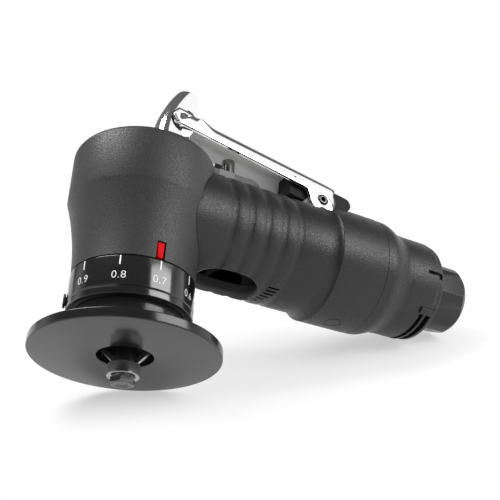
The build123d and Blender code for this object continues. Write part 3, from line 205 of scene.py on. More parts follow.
def bevelEdges(piece, chosen, width, segments):
    # rounds the edges for which chosen(middle, direction) is true, in millimetres
    takeUp(piece)
    bpy.ops.object.mode_set(mode="EDIT")
    bpy.ops.mesh.select_mode(type="EDGE")
    bpy.ops.mesh.select_all(action="DESELECT")
    work = bmesh.from_edit_mesh(piece.data)
    for edge in work.edges:
        ends = [v.co / mm for v in edge.verts]
        edge.select = chosen((ends[0] + ends[1]) / 2, (ends[1] - ends[0]).normalized())
    bmesh.update_edit_mesh(piece.data)
    bpy.ops.mesh.bevel(offset=width * mm, segments=segments, profile=0.5, affect="EDGES", clamp_overlap=True)
    bpy.ops.object.mode_set(mode="OBJECT")
    return piece


def softEdges(piece, width, segments=2, angle=35):
    takeUp(piece)
    bevel = piece.modifiers.new("edges", "BEVEL")
    bevel.width = width * mm
    bevel.segments = segments
    bevel.limit_method = "ANGLE"
    bevel.angle_limit = math.radians(angle)
    bpy.ops.object.modifier_apply(modifier=bevel.name)
    return piece


def shape(piece, tool, operation="DIFFERENCE"):
    # a boolean with a tool piece, which is then thrown away
    takeUp(piece)
    step = piece.modifiers.new("shape", "BOOLEAN")
    step.operation = operation
    step.solver = "EXACT"
    step.object = tool
    bpy.ops.object.modifier_apply(modifier=step.name)
    bpy.data.objects.remove(tool, do_unlink=True)
    return piece


def copyOf(piece):
    takeUp(piece)
    bpy.ops.object.duplicate()
    return bpy.context.object


def hexagonOutline(acrossFlats):
    corner = acrossFlats / math.sqrt(3)
    return [(corner * math.cos(math.radians(60 * k)), corner * math.sin(math.radians(60 * k))) for k in range(6)]


def joinAll(name, parts):
    takeUp(parts[0])
    for part in parts:
        part.select_set(True)
    bpy.ops.object.join()
    parts[0].name = name
    return parts[0]


def block(name, low, high):
    takeUp(None)
    low, high = Vector(low) * mm, Vector(high) * mm
    bpy.ops.mesh.primitive_cube_add(size=1, location=(low + high) / 2, scale=high - low)
    piece = bpy.context.object
    piece.name = name
    bpy.ops.object.transform_apply(location=True, rotation=True, scale=True)
    return piece


def rod(name, radius, depth, spot, turn=(0, 0, 0), sides=96):
    takeUp(None)
    bpy.ops.mesh.primitive_cylinder_add(vertices=sides, radius=radius * mm, depth=depth * mm)
    piece = bpy.context.object
    piece.name = name
    return place(piece, spot, turn)


def loft(name, rings):
    # a closed skin over rings of points that all have the same count
    count = len(rings[0])
    points = [Vector(spot) * mm for loop in rings for spot in loop]
    faces = [tuple(range(count)), tuple(reversed(range(len(points) - count, len(points))))]
    for row in range(len(rings) - 1):
        for k in range(count):
            ahead = (k + 1) % count
            faces.append((row * count + ahead, row * count + k, (row + 1) * count + k, (row + 1) * count + ahead))
    mesh = bpy.data.meshes.new(name)
    mesh.from_pydata(points, [], faces)
    piece = bpy.data.objects.new(name, mesh)
    bpy.context.scene.collection.objects.link(piece)
    takeUp(piece)
    bpy.ops.object.mode_set(mode="EDIT")
    bpy.ops.mesh.select_all(action="SELECT")
    bpy.ops.mesh.normals_make_consistent(inside=False)
    bpy.ops.object.mode_set(mode="OBJECT")
    return piece


def finishPiece(piece, body, slot, material, *nodes, angle=32):
    takeUp(piece)
    bpy.ops.object.mode_set(mode="EDIT")
    bpy.ops.mesh.select_all(action="SELECT")
    bpy.ops.mesh.remove_doubles(threshold=0.0005 * mm)
    bpy.ops.mesh.normals_make_consistent(inside=False)
    bpy.ops.object.mode_set(mode="OBJECT")
    bpy.ops.object.shade_smooth_by_angle(angle=math.radians(angle))
    piece.data.materials.clear()
    piece.data.materials.append(material)
    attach(piece, body)
    if nodes:
        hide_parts(*nodes)
    print("made", piece.name, len(piece.data.polygons), "faces")


# Shared node groups
def newGroup(name, inputs, outputs):
    group = bpy.data.node_groups.new(name, "ShaderNodeTree")
    for label, kind, value in inputs:
        socket = group.interface.new_socket(label, in_out="INPUT", socket_type=kind)
        if value is not None:
            socket.default_value = value
    for label, kind in outputs:
        group.interface.new_socket(label, in_out="OUTPUT", socket_type=kind)
    return group, group.nodes.new("NodeGroupInput"), group.nodes.new("NodeGroupOutput")


def addNode(tree, kind, **settings):
    node = tree.nodes.new(kind)
    for key, value in settings.items():
        if hasattr(node, key):
            setattr(node, key, value)
        else:
            node.inputs[key].default_value = value
    return node


def feed(tree, socket, value):
    # links another node's output, or sets a plain value
    if isinstance(value, bpy.types.NodeSocket):
        tree.links.new(value, socket)
    elif value is not None:
        socket.default_value = value


def mathNode(tree, operation, first, second=None):
    node = addNode(tree, "ShaderNodeMath", operation=operation)
    feed(tree, node.inputs[0], first)
    feed(tree, node.inputs[1], second)
    return node.outputs[0]


def vectorNode(tree, operation, first, second=None):
    node = addNode(tree, "ShaderNodeVectorMath", operation=operation)
    feed(tree, node.inputs[0], first)
    feed(tree, node.inputs[1], second)
    return node.outputs["Value" if operation in ("DOT_PRODUCT", "LENGTH") else "Vector"]


def ownPlace(tree):
    return addNode(tree, "ShaderNodeTexCoord").outputs["Object"]


def splitPlace(tree, spot):
    parts = addNode(tree, "ShaderNodeSeparateXYZ")
    tree.links.new(spot, parts.inputs[0])
    return parts.outputs


def mapNode(tree, value, low, high, toLow, toHigh):
    node = tree.nodes.new("ShaderNodeMapRange")
    for label, number in (("Value", value), ("From Min", low), ("From Max", high), ("To Min", toLow),
                          ("To Max", toHigh)):
        feed(tree, node.inputs[label], number)
    return node.outputs["Result"]


def mixColours(tree, mask, first, second):
    # first and second are grey or coloured triples, or another node's output
    mix = addNode(tree, "ShaderNodeMix", data_type="RGBA")
    for label, colour in (("A", first), ("B", second)):
        feed(tree, mix.inputs[label], (*colour, 1) if isinstance(colour, tuple) else colour)
    tree.links.new(mask, mix.inputs["Factor"])
    return mix.outputs["Result"]


# Grain: a fine height and a slow mottle, from the piece's own coordinates
grainGroup, grainIn, grainOut = newGroup(
    "fineGrain",
    [("Size", "NodeSocketFloat", 1500.0), ("Mottle Size", "NodeSocketFloat", 60.0)],
    [("Height", "NodeSocketFloat"), ("Mottle", "NodeSocketFloat")])
spot = ownPlace(grainGroup)
fine = addNode(grainGroup, "ShaderNodeTexNoise", Detail=3.0, Roughness=0.6)
slow = addNode(grainGroup, "ShaderNodeTexNoise", Detail=4.0, Roughness=0.55)
for noise, label in ((fine, "Size"), (slow, "Mottle Size")):
    grainGroup.links.new(spot, noise.inputs["Vector"])
    grainGroup.links.new(grainIn.outputs[label], noise.inputs["Scale"])
grainGroup.links.new(fine.outputs["Fac"], grainOut.inputs["Height"])
grainGroup.links.new(slow.outputs["Fac"], grainOut.inputs["Mottle"])

# Turning marks: fine rings round an axis
turnedGroup, turnedIn, turnedOut = newGroup(
    "turnedRings",
    [("Middle", "NodeSocketVector", (0, 0, 0)), ("Axis", "NodeSocketVector", (0, 0, 1)),
     ("Rings", "NodeSocketFloat", 2500.0)],
    [("Height", "NodeSocketFloat"), ("Radius", "NodeSocketFloat")])
shifted = vectorNode(turnedGroup, "SUBTRACT", ownPlace(turnedGroup), turnedIn.outputs["Middle"])
along = vectorNode(turnedGroup, "DOT_PRODUCT", shifted, turnedIn.outputs["Axis"])
crossed = vectorNode(turnedGroup, "CROSS_PRODUCT", shifted, turnedIn.outputs["Axis"])
radius = vectorNode(turnedGroup, "LENGTH", crossed)
pair = addNode(turnedGroup, "ShaderNodeCombineXYZ")
ringNoise = addNode(turnedGroup, "ShaderNodeTexNoise", Detail=2.0, Roughness=0.7)
for output, socket in ((radius, pair.inputs["X"]), (along, pair.inputs["Y"]),
                       (pair.outputs[0], ringNoise.inputs["Vector"]),
                       (turnedIn.outputs["Rings"], ringNoise.inputs["Scale"]),
                       (ringNoise.outputs["Fac"], turnedOut.inputs["Height"]),
                       (radius, turnedOut.inputs["Radius"])):
    turnedGroup.links.new(output, socket)

# Wear: bare edges, broken up by rubbing
wearGroup, wearIn, wearOut = newGroup(
    "handlingWear",
    [("Patch Size", "NodeSocketFloat", 90.0), ("Edge", "NodeSocketFloat", 0.54)],
    [("Edges", "NodeSocketFloat")])
geometry = addNode(wearGroup, "ShaderNodeNewGeometry")
rub = addNode(wearGroup, "ShaderNodeTexNoise", Detail=6.0, Roughness=0.65)
wearGroup.links.new(ownPlace(wearGroup), rub.inputs["Vector"])
wearGroup.links.new(wearIn.outputs["Patch Size"], rub.inputs["Scale"])
edgeTop = mathNode(wearGroup, "ADD", wearIn.outputs["Edge"], 0.08)
edges = mapNode(wearGroup, geometry.outputs["Pointiness"], wearIn.outputs["Edge"], edgeTop, 0.0, 1.0)
broken = mapNode(wearGroup, rub.outputs["Fac"], 0.42, 0.62, 0.15, 1.0)
wearGroup.links.new(mathNode(wearGroup, "MULTIPLY", edges, broken), wearOut.inputs["Edges"])


# Materials
def startMaterial(name, **sockets):
    material = bpy.data.materials.new(name)
    material.use_nodes = True
    shader = material.node_tree.nodes["Principled BSDF"]
    for key, value in sockets.items():
        shader.inputs[key.replace("_", " ")].default_value = value
    return material, material.node_tree, shader


def addGroup(tree, group, **values):
    node = tree.nodes.new("ShaderNodeGroup")
    node.node_tree = group
    for key, value in values.items():
        node.inputs[key.replace("_", " ")].default_value = value
    return node


def grey(level):
    return (level, level, level)


def bumpFrom(tree, shader, height, strength, distance):
    bump = addNode(tree, "ShaderNodeBump", Strength=strength, Distance=distance * mm)
    tree.links.new(height, bump.inputs["Height"])
    tree.links.new(bump.outputs["Normal"], shader.inputs["Normal"])


def grainedMaterial(name, dark, light, rough, grain, strength=0.25, distance=0.03, sparkle=0.05, **sockets):
    # moulded or blasted surface: fine bump, slow mottle in colour, grain in roughness, rubbed edges
    material, tree, shader = startMaterial(name, **sockets)
    texture = addGroup(tree, grainGroup, Size=grain)
    wear = addGroup(tree, wearGroup)
    tone = mathNode(tree, "ADD", mathNode(tree, "MULTIPLY", texture.outputs["Mottle"], 0.8),
                    mathNode(tree, "MULTIPLY", wear.outputs["Edges"], 0.35))
    tree.links.new(mixColours(tree, tone, dark, light), shader.inputs["Base Color"])
    tree.links.new(mapNode(tree, texture.outputs["Height"], 0.35, 0.65, rough + sparkle, rough - sparkle),
                   shader.inputs["Roughness"])
    bumpFrom(tree, shader, texture.outputs["Height"], strength, distance)
    return material


# painted shade in the vent and on the lip in front of the valve pad: where it fades in, and its black
paintedShadeFade = {"outer": 19.6, "inner": 18.1, "lipLow": 72.6, "lipHigh": 73.3, "black": 0.002, "rough": 0.95}


def darkInside(material):
    # painted shade: the casing's inside, seen through the vent, falls off to black towards the handle's axis,
    # and so does the lip in front of the valve pad; both stand in for the shade there
    tree = material.node_tree
    shader = tree.nodes["Principled BSDF"]
    lines = addGroup(tree, turnedGroup, Middle=(0, 0, handleZ * mm), Axis=(1, 0, 0))
    deep = mapNode(tree, lines.outputs["Radius"], paintedShadeFade["inner"] * mm, paintedShadeFade["outer"] * mm, 1.0, 0.0)
    onLip = mapNode(tree, splitPlace(tree, ownPlace(tree))["Z"], paintedShadeFade["lipLow"] * mm,
                    paintedShadeFade["lipHigh"] * mm, 0.0, 1.0)
    shade = mathNode(tree, "MAXIMUM", deep, onLip)
    paint = shader.inputs["Base Color"].links[0].from_socket
    tree.links.new(mixColours(tree, shade, paint, grey(paintedShadeFade["black"])), shader.inputs["Base Color"])
    gloss = shader.inputs["Roughness"].links[0].from_socket
    tree.links.new(mapNode(tree, shade, 0.0, 1.0, gloss, paintedShadeFade["rough"]), shader.inputs["Roughness"])
    return material


def turnedMaterial(name, dark, light, rough, rings=2500.0, strength=0.1, distance=0.01, **sockets):
    # lathe-turned metal: fine rings in the bump and roughness, slow mottle in colour
    material, tree, shader = startMaterial(name, **sockets)
    lines = addGroup(tree, turnedGroup, Rings=rings)
    texture = addGroup(tree, grainGroup, Size=2500.0, Mottle_Size=80.0)
    tree.links.new(mixColours(tree, texture.outputs["Mottle"], dark, light), shader.inputs["Base Color"])
    tree.links.new(mapNode(tree, lines.outputs["Height"], 0.3, 0.7, rough * 0.8, rough * 1.2),
                   shader.inputs["Roughness"])
    bumpFrom(tree, shader, lines.outputs["Height"], strength, distance)
    return material


castFinish = {"dark": (0.008, 0.008, 0.0082), "light": (0.013, 0.013, 0.0132), "rough": 0.39, "grain": 2000.0,
              "strength": 0.9, "distance": 0.10, "sparkle": 0.14}
# painted light: the head's copy of the casing black is lighter, standing in for the brighter light on the head; it
# is also rougher
headFinishPaintedLight = {**castFinish, "dark": (0.022, 0.022, 0.0224), "light": (0.033, 0.033, 0.0334), "rough": 0.48}
castBlack = grainedMaterial("castBlack", **castFinish)
headBlackPaintedLight = grainedMaterial("headBlackPaintedLight", **headFinishPaintedLight)
gripBlackPaintedShade = darkInside(grainedMaterial("gripBlackPaintedShade", **castFinish))
satinBlack = turnedMaterial("satinBlack", (0.007, 0.007, 0.0072), (0.011, 0.011, 0.0112), 0.17, rings=1800.0,
                            strength=0.04, IOR=1.52)
glossBlack = turnedMaterial("glossBlack", grey(0.005), grey(0.008), 0.13, rings=1500.0,
                            strength=0.02, IOR=1.75)
inletBlack = grainedMaterial("inletBlack", (0.006, 0.006, 0.0062), (0.011, 0.011, 0.0112), 0.26, 1600.0,
                             strength=0.06, distance=0.01, sparkle=0.02)
polishedChrome = grainedMaterial("polishedChrome", grey(0.80), grey(0.88), 0.08, 1200.0,
                                 strength=0.02, distance=0.005, Metallic=1.0)
turnedSteel = turnedMaterial("turnedSteel", grey(0.50), (0.62, 0.62, 0.61), 0.16, rings=4000.0,
                             Metallic=1.0)
darkSteel = grainedMaterial("darkSteel", grey(0.10), grey(0.17), 0.35, 1600.0,
                            strength=0.08, distance=0.01, Metallic=1.0)
carbideGrey = grainedMaterial("carbideGrey", (0.40, 0.40, 0.41), (0.52, 0.52, 0.53), 0.3, 3000.0,
                              strength=0.05, distance=0.01, Metallic=1.0)
blastedAlloy = grainedMaterial("blastedAlloy", grey(0.10), grey(0.15), 0.6, 3200.0,
                               strength=0.45, distance=0.05, Metallic=0.6)
pointerRed = grainedMaterial("pointerRed", (0.50, 0.001, 0.004), (0.60, 0.002, 0.006), 0.6, 1500.0,
                             strength=0.03, distance=0.01, Specular_IOR_Level=0.1)
heelBlack = grainedMaterial("heelBlack", grey(0.004), grey(0.008), 0.6, 2200.0,
                            Specular_IOR_Level=0.3)
bearingSteel = turnedMaterial("bearingSteel", grey(0.34), grey(0.44), 0.14, rings=4000.0,
                              Metallic=1.0)
boltSteel = grainedMaterial("boltSteel", grey(0.09), grey(0.15), 0.22, 1800.0, strength=0.06,
                            distance=0.01, Metallic=1.0)
stemSteel = turnedMaterial("stemSteel", grey(0.16), grey(0.24), 0.18, rings=3000.0, Metallic=1.0)
printWhite = grainedMaterial("printWhite", grey(0.78), grey(0.86), 0.5, 2000.0)
brassYellow = grainedMaterial("brassYellow", (0.62, 0.44, 0.16), (0.72, 0.54, 0.22), 0.3, 1500.0, Metallic=1.0)
vaneBrown = grainedMaterial("vaneBrown", (0.10, 0.055, 0.03), (0.15, 0.085, 0.045), 0.6, 900.0)
sealRubber = grainedMaterial("sealRubber", grey(0.012), grey(0.02), 0.7, 1500.0)
greyFelt = grainedMaterial("greyFelt", grey(0.16), grey(0.26), 0.9, 1800.0, strength=0.8,
                           distance=0.2)


# painted light inside the lever's channel: where it lies, its bright white, its dull satin and how little metal it
# has
channel = {"half": 5.65, "halfFade": 5.75, "roof": 7.4, "roofFade": 7.5, "bright": 0.90, "rough": 0.45,
           "metal": 0.05, "polishLow": 0.05, "polishHigh": 0.10}


def channelChrome():
    # polished outside, dull satin inside the lever's channel; inside, the colour is also raised to a bright
    # non-metallic white, painted light in the channel's shade
    material, tree, shader = startMaterial("channelChrome")
    texture = addGroup(tree, grainGroup, Size=1200.0)
    offset = vectorNode(tree, "SUBTRACT", ownPlace(tree), pivot * mm)
    tilt = math.radians(leverTilt)
    up = vectorNode(tree, "DOT_PRODUCT", offset, (math.sin(tilt), 0, math.cos(tilt)))
    across = mathNode(tree, "ABSOLUTE", splitPlace(tree, offset)["Y"])
    between = mapNode(tree, across, channel["half"] * mm, channel["halfFade"] * mm, 1.0, 0.0)
    under = mapNode(tree, up, channel["roof"] * mm, channel["roofFade"] * mm, 1.0, 0.0)
    inside = mathNode(tree, "MULTIPLY", between, under)
    outer = mixColours(tree, texture.outputs["Mottle"], grey(0.80), grey(0.88))
    tree.links.new(mixColours(tree, inside, outer, grey(channel["bright"])), shader.inputs["Base Color"])
    polish = mapNode(tree, texture.outputs["Mottle"], 0.3, 0.7, channel["polishLow"], channel["polishHigh"])
    tree.links.new(mapNode(tree, inside, 0.0, 1.0, polish, channel["rough"]), shader.inputs["Roughness"])
    tree.links.new(mapNode(tree, inside, 0.0, 1.0, 1.0, channel["metal"]), shader.inputs["Metallic"])
    bumpFrom(tree, shader, texture.outputs["Height"], 0.03, 0.005)
    return material


# painted shade on the motor housing below its bare top: where it starts, and its black
housing = {"bareLow": 13.5, "bareHigh": 14.0, "black": 0.003, "metal": 0.5}


def housingAlloy():
    # below its top the motor housing is made black: painted shade, for the shade inside the casing seen through
    # the vent;
    # only the machined valve pad and hinge on its top are bare
    material, tree, shader = startMaterial("housingAlloy", Specular_IOR_Level=0.05)
    texture = addGroup(tree, grainGroup, Size=3200.0)
    bare = mapNode(tree, splitPlace(tree, ownPlace(tree))["Z"], (handleZ + housing["bareLow"]) * mm,
                   (handleZ + housing["bareHigh"]) * mm, 0.0, 1.0)
    alloy = mixColours(tree, texture.outputs["Mottle"], grey(0.16), grey(0.24))
    tree.links.new(mixColours(tree, bare, grey(housing["black"]), alloy), shader.inputs["Base Color"])
    tree.links.new(mapNode(tree, bare, 0.0, 1.0, 0.0, housing["metal"]), shader.inputs["Metallic"])
    tree.links.new(mapNode(tree, texture.outputs["Mottle"], 0.3, 0.7, 0.55, 0.65), shader.inputs["Roughness"])
    bumpFrom(tree, shader, texture.outputs["Height"], 0.45, 0.05)
    return material


# the lever's chrome, with painted light inside its channel
leverChromeWithPaintedLitChannel = channelChrome()
motorAlloyPaintedShade = housingAlloy()
print("materials ready")

slotMaterials = {
    "casing_black": castBlack, "ring_black": glossBlack, "disc_black": satinBlack, "inlet_dark": inletBlack,
    "chrome": polishedChrome, "steel": turnedSteel, "carbide": carbideGrey, "dark_steel": darkSteel,
    "alloy": blastedAlloy, "brass": brassYellow, "pointer_red": pointerRed, "heel_black": heelBlack,
    "vane_brown": vaneBrown, "seal": sealRubber, "felt": greyFelt,
}
for subpart in frame["record"]["subparts"]:
    node = frame["nodes"][subpart["node"]]
    for index in range(len(node.material_slots)):
        node.material_slots[index].material = slotMaterials[subpart["material_slot"]]
# the motor housing's alloy top, with painted shade below it
for slot in frame["nodes"]["motor_housing"].material_slots:
    slot.material = motorAlloyPaintedShade

# Guide disc and its sleeve
disc = {"thickness": 3.2, "sleeve": 17.55, "sleeveBore": 14.45, "bore": 8.85, "edge": 0.45}
outline = rounded([
    (disc["bore"], 0, 0.35), (discHigh.x, 0, disc["edge"]), (discHigh.x, disc["thickness"], disc["edge"]),
    (disc["sleeve"], disc["thickness"], 0.4), (disc["sleeve"], discHigh.z, 0.25),
    (disc["sleeveBore"], discHigh.z, 0.25), (disc["sleeveBore"], disc["thickness"]),
    (disc["bore"], disc["thickness"], 0.35)])
finishPiece(spinPiece("guideDisc", outline, 256), "disc_group", "disc_black", satinBlack, "guide_disc")

# Depth ring
ring = {"bore": 17.6, "lipBore": 14.45, "lip": 1.5, "groove": 2.55, "grooveHalf": 0.35, "edge": 0.3,
        "lockAngle": 165.0, "lockHeight": 3.8, "lockHole": 1.55}
grooveZ = ringLow.z + ring["groove"]
ringRadius = ringHigh.x
outline = rounded([
    (ring["bore"], ringLow.z, 0.15), (ringRadius, ringLow.z, ring["edge"]),
    (ringRadius, grooveZ - ring["grooveHalf"], 0.08), (ringRadius - ring["grooveHalf"], grooveZ, 0.05),
    (ringRadius, grooveZ + ring["grooveHalf"], 0.08), (ringRadius, ringHigh.z, ring["edge"]),
    (ring["lipBore"], ringHigh.z, 0.15), (ring["lipBore"], ringHigh.z - ring["lip"]),
    (ring["bore"], ringHigh.z - ring["lip"])])
depthRing = spinPiece("depthRing", outline, 256)
lockSwing = math.radians(ring["lockAngle"])
lockSpot = Vector((ringRadius * math.cos(lockSwing), ringRadius * math.sin(lockSwing),
                   ringLow.z + ring["lockHeight"]))
shape(depthRing, rod("lockHole", ring["lockHole"], 12, lockSpot, (0, 90, ring["lockAngle"])))
finishPiece(depthRing, "ring_group", "ring_black", glossBlack, "depth_ring")

# Head casing
head = {"bore": 17.25, "foot": 19.9, "waist": 21.0, "crease": 25.2, "creaseStep": 0.35, "corner": 3.0,
        "roof": 2.0, "neckBore": 15.1}
creaseZ = headLow.z + head["crease"]
headRadius = -headLow.x


def headOutline(swell):
    side = arcThrough((head["foot"] + swell, headLow.z),
                      (head["waist"] + swell, headLow.z + head["crease"] / 2),
                      (headRadius - head["creaseStep"] + swell, creaseZ), 24)
    return side + [(headRadius + swell, creaseZ + 1.0)]


outline = rounded(headOutline(0) + [
    (headRadius, headHigh.z, head["corner"]), (0, headHigh.z), (0, headHigh.z - head["roof"]),
    (head["bore"], headHigh.z - head["roof"]), (head["bore"], headLow.z)])
headCasing = spinPiece("headCasing", outline, 256)
shape(headCasing, rod("neckHole", head["neckBore"], 40, (20, 0, handleZ), (0, 90, 0)))
notch = {"angle": -87.5, "half": 1.55, "floor": 18.1, "top": 31.35}
pointerNotch = block("pointerNotch", (-notch["half"], -40, 0), (notch["half"], -notch["floor"], notch["top"]))
shape(headCasing, place(pointerNotch, turn=(0, 0, notch["angle"] + 90)))
finishPiece(headCasing, "tool_body", "casing_black", headBlackPaintedLight, "head_casing")

# Grip
grip = {"bore": 16.93, "grooves": 5, "pitch": 6.4, "first": 25.6, "width": 3.2, "depth": 0.3,
        "gap": 0.1, "padHalf": 8.05, "padRound": 36.4, "reliefHalf": 7.6, "reliefFloor": 70.3,
        "dimple": 19.4, "dimpleRadius": 7.5, "dimpleTurn": 38.7, "flare": 0.45, "flareRun": 2.6,
        "flareEase": 0.28, "lipStart": 15, "lipEnd": 26.2, "lipHalf": 7.6, "lipLow": 70, "lipTop": 76.6,
        "lipRound": 1.2,
        "reliefStart": 57.8, "slotHalf": 5.45, "slotStart": 59.2,
        "ventMiddle": 31.5, "ventLong": 11.9, "ventWide": 8.6, "ventSquare": 2.7,
        # the vent's wall as (longer, wider, sink); the far wall slopes in
        "ventWall": ((1.5, 1.5, -3.0), (1.0, 1.0, -0.02), (0.6, 0.6, 0.08), (0.2, 0.2, 0.35), (0, -0.2, 0.8),
                     (-0.2, -0.9, 1.3), (-0.4, -1.8, 1.8), (-0.6, -2.9, 2.4), (-0.8, -4.0, 3.1),
                     (-0.8, -4.0, 9.0)),
        "louvreWidth": 0.75, "louvreDepth": 1.6,  # louvres as (angle, start, end)
        "louvres": ((-110.2, 45.9, 50.3), (-105.6, 45.9, 50.0), (-100.7, 45.6, 49.5), (-95.6, 45.2, 48.7),
                    (-90.0, 44.7, 47.8), (-83.5, 43.7, 46.6), (-77.5, 43.2, 45.8))}
outline = [(grip["bore"], 0), (gripRadius, 0)]
for i in range(grip["grooves"]):
    middle = grip["first"] + i * grip["pitch"]
    outline += arcThrough((gripRadius, middle - grip["width"] / 2), (gripRadius - grip["depth"], middle),
                          (gripRadius, middle + grip["width"] / 2), 8)
gripEnd = rearLow.x - 0.01


def earDimple(turn):
    # a hollow beside the lever's ear, where the casing would hide its lower end
    takeUp(None)
    bpy.ops.mesh.primitive_uv_sphere_add(segments=96, ring_count=48, radius=grip["dimpleRadius"] * mm)
    ball = place(bpy.context.object, (pivot.x, 0, grip["dimple"] + grip["dimpleRadius"]))
    return place(ball, (0, 0, handleZ), (turn, 0, 0))


def cutDimples(casing):
    for turn in (grip["dimpleTurn"], -grip["dimpleTurn"]):
        shape(casing, earDimple(turn))


def padOutline(start, half):
    # the valve pad from above: straight sides and a round end
    return [(start, -half)] + arc((grip["padRound"], 0), half, -90, 90, 32) + [(start, half)]


outline += arcThrough((gripRadius, gripEnd - grip["flareRun"]),
                      (gripRadius + grip["flare"] * grip["flareEase"], gripEnd - grip["flareRun"] / 2),
                      (gripRadius + grip["flare"], gripEnd), 8) + [(grip["bore"], gripEnd)]
gripCasing = alongHandle(spinPiece("gripCasing", outline, 224))
headRoomOutline = [(0, headLow.z)] + headOutline(grip["gap"]) + [(headRadius + grip["gap"], 110), (0, 110)]
shape(gripCasing, spinPiece("headRoom", headRoomOutline, 224))
shape(gripCasing, place(plate("padRoom", padOutline(0, grip["padHalf"]), -90, -handleZ), turn=(-90, 0, 0)))
shape(gripCasing, block("relief", (grip["reliefStart"], -grip["reliefHalf"], grip["reliefFloor"]),
                        (100, grip["reliefHalf"], 100)))
shape(gripCasing, block("hingeSlot", (grip["slotStart"], -grip["slotHalf"], handleZ),
                        (100, grip["slotHalf"], 100)))
cutDimples(gripCasing)
padLip = block("padLip", (grip["lipStart"], -grip["lipHalf"], grip["lipLow"]),
               (grip["lipEnd"], grip["lipHalf"], grip["lipTop"]))
bevelEdges(padLip, lambda middle, way: middle.z > grip["lipTop"] - 0.5
           or (middle.x > grip["lipEnd"] - 0.2 and abs(way.z) > 0.9), grip["lipRound"], 4)
shape(padLip, spinPiece("headRoom", headRoomOutline, 224))
shape(gripCasing, padLip, "UNION")
ventRings = []
for longer, wider, sink in grip["ventWall"]:
    loop = []
    for k in range(96):
        swing = math.radians(360 * k / 96)
        lean = abs(math.cos(swing)) ** grip["ventSquare"] + abs(math.sin(swing)) ** grip["ventSquare"]
        reach = lean ** (-1 / grip["ventSquare"])
        x = grip["ventMiddle"] + (grip["ventLong"] + longer) * reach * math.cos(swing)
        y = min(0, wider) + (grip["ventWide"] + wider) * reach * math.sin(swing)
        loop.append((x, y, handleZ - math.sqrt(gripRadius ** 2 - y * y) + sink))
    ventRings.append(loop)
shape(gripCasing, loft("vent", ventRings))
louvres = []
for angle, start, end in grip["louvres"]:
    half = grip["louvreWidth"] / 2
    slot = plate("louvre", arc((end - half, 0), half, -90, 90, 6) + arc((start + half, 0), half, 90, 270, 6),
                 gripRadius - grip["louvreDepth"], gripRadius + 1)
    louvres.append(place(slot, (0, 0, handleZ), (angle, 0, 0)))
shape(gripCasing, joinAll("louvres", louvres))
finishPiece(gripCasing, "tool_body", "casing_black", gripBlackPaintedShade, "grip_casing")

# Rear casing
rear = {"bore": 16.93, "slope": 1.7, "slopeVia": 0.54, "slopeRise": 0.88, "shoulder": 0.25, "edge": 0.15,
        "reliefBack": 5.3, "reliefHalf": 12.0, "slotBack": 74.9,
        "markX": 76.4, "markRadius": 3.0, "markWidth": 0.3, "markDepth": 0.22}
slopeEnd = rearLow.x + rear["slope"]
slope = arcThrough((gripRadius + grip["flare"], rearLow.x),
                   (gripRadius + rear["slopeRise"], rearLow.x + rear["slope"] * rear["slopeVia"]),
                   (rearRadius - rear["shoulder"], slopeEnd), 8)
outline = [(rear["bore"], rearLow.x)] + slope + rounded([
    (rearRadius - rear["shoulder"], slopeEnd), (rearRadius, slopeEnd + rear["shoulder"], 0.2),
    (rearRadius, rearHigh.x, rear["edge"]), (rear["bore"], rearHigh.x)])[1:]
rearCasing = alongHandle(spinPiece("rearCasing", outline, 224))
shape(rearCasing, block("relief", (40, -rear["reliefHalf"], grip["reliefFloor"]),
                        (pivot.x + rear["reliefBack"], rear["reliefHalf"], 100)))
shape(rearCasing, block("hingeSlot", (40, -grip["slotHalf"], handleZ), (rear["slotBack"], grip["slotHalf"], 100)))
cutDimples(rearCasing)
markOutline = [(rear["markRadius"] - rear["markWidth"], 0), (rear["markRadius"], 0),
               (rear["markRadius"], 5), (rear["markRadius"] - rear["markWidth"], 5)]
roundMark = place(spinPiece("roundMark", markOutline, 64),
                  (rear["markX"], 0, handleZ - rearRadius + rear["markDepth"] + 0.1), (180, 0, 0))
shape(rearCasing, roundMark)
finishPiece(rearCasing, "tool_body", "casing_black", castBlack, "rear_casing")

# Rear collar
collar = {"inset": 0.12, "straight": 3.0, "fall": 9.0, "neck": 1.0, "drop": 2.75, "spigot": 14.95, "bore": 12.05}
fallStart = collarHigh.x - collar["neck"] - collar["fall"]
collarStart = fallStart - collar["straight"]
collarRadius = rearRadius - collar["inset"]
neckRadius = rearRadius - collar["drop"]
fall = [(collarRadius - (collarRadius - neckRadius) * (3 * k * k - 2 * k * k * k), fallStart + collar["fall"] * k)
        for k in [i / 20 for i in range(21)]]
outline = rounded([(collar["bore"], collarLow.x), (collar["spigot"], collarLow.x),
                   (collar["spigot"], collarStart), (collarRadius, collarStart, 0.15)]
                  + fall + [(neckRadius, collarHigh.x), (collar["bore"], collarHigh.x)])
rearCollar = alongHandle(spinPiece("rearCollar", outline, 224))
finishPiece(rearCollar, "tool_body", "casing_black", castBlack, "rear_collar")

